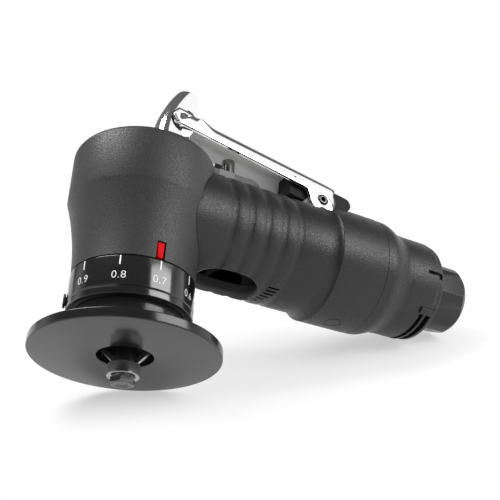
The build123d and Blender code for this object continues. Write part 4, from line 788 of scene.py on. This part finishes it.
# Exhaust deflector
tail = {"radius": neckRadius - 0.1, "wall": 2.6, "step": 0.45, "stepStart": 11.4, "stepRun": 0.8, "back": 1.6,
        "round": 1.2, "bore": 12.05, "portHalf": 37.0, "narrow": 1.6, "wide": 2.5, "rib": 1.0, "edge": 1.9,
        "lipAngle": 7.5, "lipGap": 1.0, "lipHeight": 0.9, "lipReach": 0.9,
        "notchLength": 6.8, "notchEnd": 1.0, "notchAngle": -174.5, "notchWidth": 2.6, "notchDepth": 1.4}
stepX = deflectorLow.x + tail["stepStart"]
rim = tail["radius"] - tail["step"]
inside = tail["radius"] - tail["wall"]
outline = rounded([
    (inside, deflectorLow.x), (tail["radius"], deflectorLow.x, 0.1), (tail["radius"], stepX, 0.3),
    (rim, stepX + tail["stepRun"], 0.3), (rim, deflectorHigh.x, tail["round"]),
    (tail["bore"], deflectorHigh.x, 0.2), (tail["bore"], deflectorHigh.x - tail["back"]),
    (inside, deflectorHigh.x - tail["back"])])
exhaustDeflector = alongHandle(spinPiece("exhaustDeflector", outline, 224))
portBack = deflectorHigh.x - tail["edge"]
portFront = portBack - tail["wide"] - tail["rib"] - tail["narrow"]
portFirst = -90 - tail["portHalf"]
portLip = handleSector("lip", portFront - tail["lipReach"], portBack + tail["lipReach"], tail["radius"] - 1.3,
                       tail["radius"] + tail["lipHeight"], portFirst - tail["lipAngle"] - tail["lipGap"],
                       portFirst - tail["lipGap"])
shape(exhaustDeflector, softEdges(portLip, 0.3, 3), "UNION")
for start, width in ((portFront, tail["narrow"]), (portBack - tail["wide"], tail["wide"])):
    shape(exhaustDeflector, handleSector("port", start, start + width, inside - 1, tail["radius"] + 2,
                                         portFirst, portFirst + 2 * tail["portHalf"]))
notchHalf = math.degrees(tail["notchWidth"] / 2 / tail["radius"])
shape(exhaustDeflector, handleSector("notch", deflectorHigh.x - tail["notchLength"] - tail["notchEnd"],
                                     deflectorHigh.x - tail["notchEnd"], tail["radius"] - tail["notchDepth"],
                                     tail["radius"] + 2, tail["notchAngle"] - notchHalf,
                                     tail["notchAngle"] + notchHalf))
finishPiece(exhaustDeflector, "tool_body", "casing_black", castBlack, "exhaust_deflector")

# Pointer, a tapered bar let into the head's lower edge
pointer = {"angle": -87.5, "width": 2.6, "depth": 1.8, "narrow": 0.35, "bevel": 0.42}
pointerHalf = pointer["width"] / 2
pointerBar = plate("pointerBar", [
    (-pointerHalf + pointer["narrow"], pointerLow.z), (pointerHalf - pointer["narrow"], pointerLow.z),
    (pointerHalf, pointerHigh.z), (-pointerHalf, pointerHigh.z)],
    -head["foot"] + pointer["depth"], -head["foot"])
bevelEdges(pointerBar, lambda middle, way: middle.y < -head["foot"] + 0.01, pointer["bevel"], 3)
place(pointerBar, turn=(0, 0, pointer["angle"] + 90))
finishPiece(pointerBar, "tool_body", "pointer_red", pointerRed, "pointer")

# White scale on the depth ring: a mark every 36 degrees, with its number below
scale = {"first": -86.3, "shown": 7, "step": 36.0, "top": 24.75, "length": 3.05, "width": 0.42,
         "digitLow": 17.15, "digitSize": 3.55, "digitSpace": 1.08, "digitThin": 0.055,
         "stand": 0.02, "thick": 0.04}


def wrapRound(piece, radius, angle):
    # bends a flat piece, x across and z up, onto the ring
    for vertex in piece.data.vertices:
        swing = math.radians(angle) + vertex.co.x / (radius * mm)
        reach = radius * mm - vertex.co.y
        vertex.co = (reach * math.cos(swing), reach * math.sin(swing), vertex.co.z)


half = scale["width"] / 2
flatMark = plate("mark", [(-half, scale["top"] - scale["length"]), (half, scale["top"] - scale["length"]),
                          (half, scale["top"]), (-half, scale["top"])], -scale["thick"], -scale["stand"])
scaleParts = []
for value in range(10):
    angle = scale["first"] + (scale["shown"] - value) * scale["step"]
    mark = copyOf(flatMark)
    wrapRound(mark, ringRadius, angle)
    scaleParts.append(mark)
    if value == 0:
        continue  # the lock screw stands where 0.0 would be
    takeUp(None)
    bpy.ops.object.text_add()
    digits = bpy.context.object
    digits.data.body = "0." + str(value)
    digits.data.align_x = "CENTER"
    digits.data.size = scale["digitSize"] * mm
    digits.data.space_character = scale["digitSpace"]
    digits.data.extrude = scale["thick"] / 2 * mm
    digits.data.offset = -scale["digitThin"] * mm
    bpy.ops.object.convert(target="MESH")
    place(digits, (0, -scale["stand"] - scale["thick"] / 2, scale["digitLow"]), (90, 0, 0))
    wrapRound(digits, ringRadius, angle)
    scaleParts.append(digits)
bpy.data.objects.remove(flatMark, do_unlink=True)
finishPiece(joinAll("scaleMarks", scaleParts), "ring_group", "ring_black", printWhite)

# Lock screw: a low socket head on the ring's side
lock = {"head": 2.3, "height": 0.85, "gap": 0.15, "shank": 1.45, "inside": 2.0, "edge": 0.3, "socket": 1.15,
        "socketDepth": 0.55}
headStart = ringRadius + lock["gap"]
outline = rounded([(0, ringRadius - lock["inside"]), (lock["shank"], ringRadius - lock["inside"], 0.2),
                   (lock["shank"], headStart), (lock["head"], headStart, 0.12),
                   (lock["head"], headStart + lock["height"], lock["edge"]), (0, headStart + lock["height"])])
lockScrew = spinPiece("lockScrew", outline, 64, closed=False)
socketTop = headStart + lock["height"]
shape(lockScrew, rod("socket", lock["socket"], 2 * lock["socketDepth"], (0, 0, socketTop), sides=6))
place(lockScrew, (0, 0, lockSpot.z), (0, 90, ring["lockAngle"]))
finishPiece(lockScrew, "lock_group", "dark_steel", darkSteel, "lock_screw")

# Air inlet: a hexagon with turned corners and a threaded bore
inlet = {"acrossFlats": 25.0, "corner": 13.4, "turn": 7.2, "edge": 1.2, "thread": 6.6, "threadDepth": 14.0,
         "pitch": 1.337, "threadHeight": 0.6, "passage": 4.0, "countersink": 0.9}
inletBushing = place(plate("inletBushing", hexagonOutline(inlet["acrossFlats"]), -inletHigh.x, -inletLow.x),
                     turn=(-90, 0, 0))
outline = [(inlet["passage"], inletLow.x - 0.001), (inlet["corner"], inletLow.x - 0.001)]
outline += rounded([(inlet["corner"], inletLow.x + 1), (inlet["corner"], inletHigh.x - inlet["edge"] * 1.9, 0.8),
                    (inlet["corner"] - inlet["edge"] - 0.3, inletHigh.x, 0.6),
                    (inlet["thread"] + inlet["countersink"], inletHigh.x, 0.25),
                    (inlet["thread"], inletHigh.x - inlet["countersink"])])
turn = inletHigh.x - inlet["countersink"] - inlet["pitch"] / 2
while turn > inletHigh.x - inlet["threadDepth"]:
    outline += [(inlet["thread"] - inlet["threadHeight"], turn), (inlet["thread"], turn - inlet["pitch"] / 2)]
    turn -= inlet["pitch"]
outline += [(inlet["passage"], inletHigh.x - inlet["threadDepth"])]
shape(inletBushing, spinPiece("turning", outline, 128), "INTERSECT")
place(inletBushing, (0, 0, handleZ), (0, 90, 0))
takeUp(inletBushing)
bpy.ops.object.mode_set(mode="EDIT")
bpy.ops.mesh.select_all(action="SELECT")
bpy.ops.transform.rotate(value=math.radians(inlet["turn"]), orient_axis="X", center_override=(0, 0, handleZ * mm))
bpy.ops.object.mode_set(mode="OBJECT")
finishPiece(inletBushing, "tool_body", "inlet_dark", inletBlack, "inlet_bushing")


def touch(point, middle, radius, side):
    # where a line from the point touches a circle
    across, up = point[0] - middle[0], point[1] - middle[1]
    swing = math.atan2(up, across) - side * math.acos(radius / math.hypot(across, up))
    return math.degrees(swing)


# Throttle lever: a folded channel; u runs forward from the pivot and v up
lever = {"half": 7.0, "sheet": 1.4, "bend": 3.8, "noseBend": 0.4, "bendEnd": 47, "bendRun": 8,
         "top": 8.88, "low": 2.0, "tail": 4.3, "ear": 5.4,
         "earFront": 7.7, "nose": 3.4, "noseU": 60.5, "noseV": 6.2, "reach": 53.0, "dip": 7.8, "dipU": 56.2,
         "webUnder": 7.3, "pivotHole": 2.25, "latchHole": 1.35, "edge": 0.07}


def onLever(points):
    return [(-u, v) for u, v in points]


def placeOnLever(piece):
    return place(piece, pivot, (0, leverTilt, 0))


nose = (lever["noseU"], lever["noseV"])
noseDip = (lever["dipU"], lever["dip"])
earStart = touch((lever["earFront"], lever["low"]), (0, 0), lever["ear"], 1)
noseFirst = touch((lever["dipU"], lever["low"]), nose, lever["nose"], -1)
noseLast = touch(noseDip, nose, lever["nose"], 1)
tailSwing = 180 - math.degrees(math.asin(math.sqrt(lever["ear"] ** 2 - lever["tail"] ** 2) / lever["ear"]))
side = [(-lever["tail"], lever["top"] + 0.3)]
side += arc((0, 0), lever["ear"], tailSwing, 360 + earStart if earStart < 0 else earStart, 28)
side += [(lever["earFront"] - 0.8, lever["low"] - 0.35), (lever["earFront"] + 0.6, lever["low"])]
side += arc(nose, lever["nose"], noseFirst, noseLast + (360 if noseLast < noseFirst else 0), 28)
side += [noseDip, (lever["dipU"] - 1.2, lever["dip"] + 0.12), (lever["reach"] + 0.4, lever["top"] - 0.1),
         (lever["reach"] - 0.6, lever["top"]), (lever["reach"] - 1.0, lever["top"] + 0.3)]
throttleLever = plate("throttleLever", onLever(side), -lever["half"] - 0.3, lever["half"] + 0.3)
folds = []
for u in (-12, 0, 20, 40, 47, 48, 49, 50, 51, 52, 53, 54, 55, 80):
    ease = min(1, max(0, (u - lever["bendEnd"]) / lever["bendRun"]))
    bend = lever["bend"] + (lever["noseBend"] - lever["bend"]) * ease * ease * (3 - 2 * ease)
    across, rise = lever["half"] - bend, lever["top"] - bend
    corners = arc((-across, rise), bend, 180, 90, 12) + arc((across, rise), bend, 90, 0, 12)
    folds.append([(-u, y, z) for y, z in [(-lever["half"], -20)] + corners + [(lever["half"], -20)]])
shape(throttleLever, loft("fold", folds), "INTERSECT")
inside = lever["half"] - lever["sheet"]
hollow = plate("hollow", onLever([(-20, -20), (lever["reach"], -20), (lever["reach"], lever["webUnder"]),
                                  (-20, lever["webUnder"])]), -inside, inside)
bevelEdges(hollow, lambda middle, way: abs(way.x) > 0.9 and middle.z > 0, lever["bend"] - lever["sheet"] + 0.15, 4)
shape(throttleLever, hollow)
shape(throttleLever, plate("noseGap", onLever([(lever["reach"] - 0.1, -20), (80, -20), (80, 30),
                                               (lever["reach"] - 0.1, 30)]), -inside, inside))
shape(throttleLever, rod("pivotHole", lever["pivotHole"], 30, (0, 0, 0), (90, 0, 0), 64))
latchHole = rod("latchHole", lever["latchHole"], 30, (-lever["noseU"], 0, lever["noseV"]), (90, 0, 0), 48)
shape(throttleLever, latchHole)
softEdges(throttleLever, lever["edge"], 2, 40)
finishPiece(placeOnLever(throttleLever), "lever_group", "chrome", leverChromeWithPaintedLitChannel, "throttle_lever", angle=25)

# Lever heel, black plastic between the hinge cheeks
heel = {"half": 4.5, "front": 14.2, "lean": 1.2, "top": 7.4, "roof": 7.25, "floor": -2.3, "boss": 3.6,
        "tailU": -10.7, "tailRound": 2.85, "hole": 2.1, "edge": 0.45}
tailV = heel["top"] - heel["tailRound"]
side = [(heel["front"], heel["roof"])]
side += [(heel["front"] - 0.55, heel["roof"] - 3.0), (heel["front"] - 0.6, heel["floor"] + 3.0)]
side += [(heel["front"] - heel["lean"], heel["floor"]), (heel["boss"] + 0.4, heel["floor"])]
side += arc((0, 0), heel["boss"], -40, -100, 10)
side += arc((heel["tailU"], tailV), heel["tailRound"], 270, 90, 20)
side += [(-lever["tail"] - 0.1, heel["top"]), (-lever["tail"] - 0.1, heel["roof"])]
leverHeel = plate("leverHeel", onLever(side), -heel["half"], heel["half"])
shape(leverHeel, rod("heelHole", heel["hole"], 30, (0, 0, 0), (90, 0, 0), 64))
softEdges(leverHeel, heel["edge"], 3, 40)
finishPiece(placeOnLever(leverHeel), "lever_group", "heel_black", heelBlack, "lever_heel")

# Hollow pivot pin and the latch's pin
pins = {"pivot": 1.75, "bore": 0.95, "latch": 1.28, "edge": 0.3, "dome": 0.25}
pinHalf = (leverPinHigh.y - leverPinLow.y) / 2
outline = rounded([(pins["bore"], -pinHalf, 0.2), (pins["pivot"], -pinHalf, pins["edge"]),
                   (pins["pivot"], pinHalf, pins["edge"]), (pins["bore"], pinHalf, 0.2)])
leverPin = place(spinPiece("leverPin", outline, 64), pivot, (90, 0, 0))
finishPiece(leverPin, "lever_group", "steel", stemSteel, "lever_pin")
pinHalf = (latchPinHigh.y - latchPinLow.y) / 2
domed = rounded([(0.9, -pinHalf), (pins["latch"], -pinHalf + pins["dome"], 0.15),
                 (pins["latch"], pinHalf - pins["dome"], 0.15), (0.9, pinHalf)])
outline = [(0, -pinHalf)] + domed + [(0, pinHalf)]
latchPinPiece = place(spinPiece("latchPin", outline, 48, closed=False), latchPin, (90, 0, 0))
finishPiece(latchPinPiece, "lever_group", "dark_steel", darkSteel, "latch_pin")

# Safety latch: one folded sheet with a front strip, a thumb cap and two cheeks on the pin
latch = {"half": 5.4, "sheet": 1.2, "fold": 3.8, "capFold": 1.2, "capFront": (-1.1, 12.9), "belly": (-5.9, 3.1),
         "footFront": (-7.9, -7.6), "footBack": (0.5, -7.6), "capFloor": (4.7, 4.2), "capWaist": (5.7, 8.0),
         "capBack": (5.3, 12.2), "capRound": 1.3, "room": (1.2, -0.9), "roomRadius": 5.2, "eye": 2.9, "neck": 1.7,
         "hole": 1.35, "edge": 0.12}
front = arcThrough(latch["capFront"], latch["belly"], latch["footFront"], 24)
sheet = latch["sheet"]
top = rounded([latch["footBack"], latch["capFloor"], (*latch["capWaist"], latch["capRound"]),
               (*latch["capBack"], latch["capRound"]), (*latch["capFront"], 1.2), front[2]])[1:-1]
outline = front[2:] + [latch["footBack"]] + top
safetyLatch = plate("safetyLatch", outline, -latch["half"], latch["half"])
bevelEdges(safetyLatch, lambda middle, way: abs(way.y) < 0.1 and middle.x > -0.5
           and middle.z > latch["capFloor"][1] + 0.05, latch["capFold"], 6)


def foldSkin(name, inset):
    # the space behind the front strip's rounded face, drawn in by the sheet's thickness for the inside
    half, bend = latch["half"] - inset, latch["fold"] - inset
    rows = []
    for x, z in [(front[0][0], 30)] + front + [(front[-1][0] - 1, -30)]:
        middle = x + inset + bend
        corners = arc((middle, -half + bend), bend, 270, 180, 10) + arc((middle, half - bend), bend, 180, 90, 10)
        rows.append([(across, y, z) for across, y in [(30, -half)] + corners + [(30, half)]])
    return loft(name, rows)


shape(safetyLatch, foldSkin("latchSkin", 0.01), "INTERSECT")
room = arcThrough((sheet + latch["capFront"][0], latch["capFront"][1] - sheet),
                  (sheet + latch["belly"][0], latch["belly"][1]),
                  (sheet + latch["footFront"][0], latch["footFront"][1] - 1), 20)
room += [(latch["capFloor"][0] - sheet, latch["footFront"][1] - 1),
         (latch["capFloor"][0] - sheet, latch["capFloor"][1]),
         (latch["capWaist"][0] - sheet, latch["capWaist"][1]),
         (latch["capBack"][0] - sheet, latch["capBack"][1] - sheet)]
inner = plate("latchRoom", room, -latch["half"] + sheet - 0.1, latch["half"] - sheet + 0.1)
shape(inner, foldSkin("roomSkin", sheet), "INTERSECT")
shape(safetyLatch, inner)
roomRod = rod("noseRoom", latch["roomRadius"], 40, (latch["room"][0], 0, latch["room"][1]), (90, 0, 0), 96)
shape(safetyLatch, roomRod)
for near, far in ((-latch["half"], -latch["half"] + sheet), (latch["half"] - sheet, latch["half"])):
    neckSwing = math.degrees(math.asin(latch["neck"] / latch["eye"]))
    eye = arc((0, 0), latch["eye"], 90 + neckSwing, 450 - neckSwing, 32)
    eye += [(latch["neck"], latch["roomRadius"]), (-latch["neck"], latch["roomRadius"])]
    shape(safetyLatch, plate("eye", eye, near, far), "UNION")
shape(safetyLatch, rod("pinHole", latch["hole"], 40, (0, 0, 0), (90, 0, 0), 48))
softEdges(safetyLatch, latch["edge"], 2, 50)
finishPiece(place(safetyLatch, latchPin), "latch_group", "chrome", polishedChrome, "safety_latch", angle=25)

# Valve pad, the blasted top of the motor housing that stands through the casing
pad = {"half": 7.98, "start": 18.0, "top": 73.9, "skin": 0.02, "foot": 64.0, "edge": 0.35, "bore": 4.2,
       "housing": 16.9}
valvePad = place(plate("valvePad", padOutline(pad["start"], pad["half"]), -pad["top"] - pad["skin"], -pad["foot"]),
                 turn=(-90, 0, 0))
bevelEdges(valvePad, lambda middle, way: middle.z > pad["top"], pad["edge"], 3)
shape(valvePad, rod("bore", pad["bore"], 20, (stemX, 0, pad["top"])))
housingRoom = [(0, -10), (pad["housing"], -10), (pad["housing"], 90), (0, 90)]
shape(valvePad, alongHandle(spinPiece("housingRoom", housingRoom, 128)))
finishPiece(valvePad, "tool_body", "alloy", blastedAlloy)

# Valve stem with a turned top
stem = {"radius": 2.4, "foot": 3.3, "footHeight": 1.2, "edge": 0.35}
footTop = stemLow.z + stem["footHeight"]
outline = rounded([(0, stemLow.z), (stem["foot"], stemLow.z, 0.2), (stem["foot"], footTop, 0.2),
                   (stem["radius"], footTop), (stem["radius"], stemHigh.z, stem["edge"]), (0, stemHigh.z)])
valveStem = place(spinPiece("valveStem", outline, 96, closed=False), (stemX, 0, 0))
finishPiece(valveStem, "stem_group", "steel", stemSteel, "valve_stem")

# Guide bearing, washer and hexagon bolt under the cutter
bolt = {"acrossFlats": 7.0, "crown": 0.45, "crownSlope": 0.55, "crownRoom": 0.3, "dish": 2.35, "dishDepth": 0.5,
        "shank": 2.0}
guideBolt = place(plate("guideBolt", hexagonOutline(bolt["acrossFlats"]), -washerLow.z, -boltLow.z),
                  turn=(-90, 0, 0))
crownRadius = bolt["acrossFlats"] / math.sqrt(3) + bolt["crownRoom"]
crownRise = (crownRadius - bolt["acrossFlats"] / 2 + bolt["crown"]) * bolt["crownSlope"]
outline = rounded([
    (0, boltLow.z + bolt["dishDepth"] - 0.15), (bolt["dish"] - 1.0, boltLow.z + bolt["dishDepth"], 0.6),
    (bolt["dish"], boltLow.z + 0.02, 0.25), (bolt["acrossFlats"] / 2 - bolt["crown"], boltLow.z, 0.15),
    (crownRadius, boltLow.z + crownRise), (crownRadius, washerLow.z), (bolt["shank"], washerLow.z),
    (bolt["shank"], boltHigh.z, 0.3), (0, boltHigh.z)])
crown = spinPiece("crown", outline, 128, closed=False)
shankFoot = washerLow.z - 0.5
shank = rod("shank", bolt["shank"], boltHigh.z - shankFoot, (0, 0, (boltHigh.z + shankFoot) / 2), sides=48)
shape(guideBolt, shank, "UNION")
shape(guideBolt, crown, "INTERSECT")
softEdges(guideBolt, 0.08, 2, 30)
finishPiece(guideBolt, "spindle_group", "steel", boltSteel, "guide_bolt")

# name, node, body, bore and edge
boltRings = (("bearingOuter", "guide_roller_outer", "roller_group", 3.3, 0.3),
             ("bearingInner", "guide_roller_inner", "spindle_group", 2.05, 0.2),
             ("boltWasher", "bolt_washer", "spindle_group", 2.05, 0.12))
for name, node, body, bore, edge in boltRings:
    low, high = boxOf(node)
    outline = rounded([(bore, low.z, edge * 0.6), (high.x, low.z, edge), (high.x, high.z, edge),
                       (bore, high.z, edge * 0.6)])
    finishPiece(spinPiece(name, outline, 128), body, "steel", bearingSteel, node)
print("pieces done")

# Camera at the photograph's viewpoint
view = {"spot": (-83.16, -236.95, -99.12), "turn": (119.115, -1.734, -28.800), "lens": 62.39}
cameraData = bpy.data.cameras.new("camera")
cameraData.lens = view["lens"]
cameraData.sensor_width = 36.0
cameraData.clip_start = 0.01
cameraData.clip_end = 20.0
camera = bpy.data.objects.new("camera", cameraData)
bpy.context.scene.collection.objects.link(camera)
camera.location = Vector(view["spot"]) * mm
camera.rotation_euler = Euler([math.radians(a) for a in view["turn"]])
bpy.context.scene.camera = camera

# Floor: the tool lies on its disc's edge and its tail
floorSpot = Vector((14.97, 25.42, 0))
floorUp = Vector((-0.3507, -0.5923, 0.7254)).normalized()
takeUp(None)
bpy.ops.mesh.primitive_plane_add(size=6)
floor = bpy.context.object
floor.name = "floor"
floor.location = (floorSpot - floorUp * 0.15) * mm
floor.rotation_euler = floorUp.to_track_quat("Z", "Y").to_euler()

# White to the horizon where it is seen, with the tool's own shadow kept near it
backdrop = {"near": 0.12, "far": 0.32, "lift": 0.50, "frontNear": 0.003, "frontFar": 0.030}
floorPaint = bpy.data.materials.new("floorPaint")
floorPaint.use_nodes = True
tree = floorPaint.node_tree
floorShader = tree.nodes["Principled BSDF"]
floorShader.inputs["Base Color"].default_value = (0.88, 0.88, 0.88, 1)
floorShader.inputs["Roughness"].default_value = 0.9
floorShader.inputs["Specular IOR Level"].default_value = 0.1
path = addNode(tree, "ShaderNodeLightPath")
spread = ownPlace(tree)
seen = mathNode(tree, "MAXIMUM", path.outputs["Is Camera Ray"],
                mathNode(tree, "MAXIMUM", path.outputs["Is Glossy Ray"], path.outputs["Is Transmission Ray"]))
towards = camera.location - floor.location
towards = (towards - floorUp * towards.dot(floorUp)).normalized()
frontWay = floorUp.to_track_quat("Z", "Y").inverted() @ towards
faraway = mapNode(tree, vectorNode(tree, "LENGTH", spread), backdrop["near"], backdrop["far"],
                  backdrop["lift"], 1.0)
inFront = mapNode(tree, vectorNode(tree, "DOT_PRODUCT", spread, frontWay), backdrop["frontNear"],
                  backdrop["frontFar"], backdrop["lift"], 1.0)
whiteness = mathNode(tree, "MAXIMUM", faraway, inFront)
lift = addNode(tree, "ShaderNodeEmission", Color=(1, 1, 1, 1), Strength=1.0)
paint = addNode(tree, "ShaderNodeMixShader")
tree.links.new(mathNode(tree, "MULTIPLY", seen, whiteness), paint.inputs["Fac"])
tree.links.new(floorShader.outputs["BSDF"], paint.inputs[1])
tree.links.new(lift.outputs["Emission"], paint.inputs[2])
faceSide = addNode(tree, "ShaderNodeNewGeometry")
clear = addNode(tree, "ShaderNodeBsdfTransparent")
sides = addNode(tree, "ShaderNodeMixShader")
tree.links.new(faceSide.outputs["Backfacing"], sides.inputs["Fac"])
tree.links.new(paint.outputs["Shader"], sides.inputs[1])
tree.links.new(clear.outputs["BSDF"], sides.inputs[2])
tree.links.new(sides.outputs["Shader"], tree.nodes["Material Output"].inputs["Surface"])
floor.data.materials.append(floorPaint)

# World: white where it is seen, white low down and dim overhead in reflections, plain light elsewhere
sky = {"ground": 0.16, "light": 0.9, "overhead": 0.14, "low": 0.12, "high": 0.42,
       "dimWay": (-0.05, 0.77, 0.63), "dimEdge": 0.72, "dimFull": 0.90, "dim": 0.19}
world = bpy.data.worlds.new("studio")
bpy.context.scene.world = world
world.use_nodes = True
tree = world.node_tree
back = tree.nodes["Background"]
back.inputs["Color"].default_value = (1, 1, 1, 1)
path = addNode(tree, "ShaderNodeLightPath")
direction = addNode(tree, "ShaderNodeTexCoord").outputs["Generated"]
rise = vectorNode(tree, "DOT_PRODUCT", direction, floorUp)
behind = vectorNode(tree, "DOT_PRODUCT", direction, Vector(sky["dimWay"]).normalized())
glossLevel = mathNode(tree, "MINIMUM", mapNode(tree, rise, sky["low"], sky["high"], 1.0, sky["overhead"]),
                      mapNode(tree, behind, sky["dimEdge"], sky["dimFull"], 1.0, sky["dim"]))
mirrored = mathNode(tree, "MAXIMUM", path.outputs["Is Glossy Ray"], path.outputs["Is Transmission Ray"])
softLevel = mapNode(tree, rise, -1.0, 1.0, sky["ground"], sky["light"])
level = mapNode(tree, mirrored, 0.0, 1.0, softLevel, glossLevel)
tree.links.new(mapNode(tree, path.outputs["Is Camera Ray"], 0.0, 1.0, level, 1.0), back.inputs["Strength"])

# Softboxes: a bright one low at the front right, a dim one above it, a soft one high on the left
# way, distance, width, height and power
lamps = {"keyBox": ((0.444, -0.835, 0.326), 0.75, 0.50, 0.30, 2.8),
         "topBox": ((0.37, -0.67, 0.64), 0.75, 0.60, 0.20, 0.38),
         "leftBox": ((-0.70, -0.10, 0.71), 0.75, 0.46, 0.20, 4.6)}
aim = Vector((40, 0, 40)) * mm
for name, (way, distance, wide, high, power) in lamps.items():
    lampData = bpy.data.lights.new(name, "AREA")
    lampData.shape = "RECTANGLE"
    lampData.size = wide
    lampData.size_y = high
    lampData.energy = power
    lamp = bpy.data.objects.new(name, lampData)
    bpy.context.scene.collection.objects.link(lamp)
    lamp.location = aim + Vector(way).normalized() * distance
    lamp.rotation_euler = Vector(way).to_track_quat("Z", "Y").to_euler()

bpy.context.scene.view_settings.view_transform = "Standard"
print("scene ready")
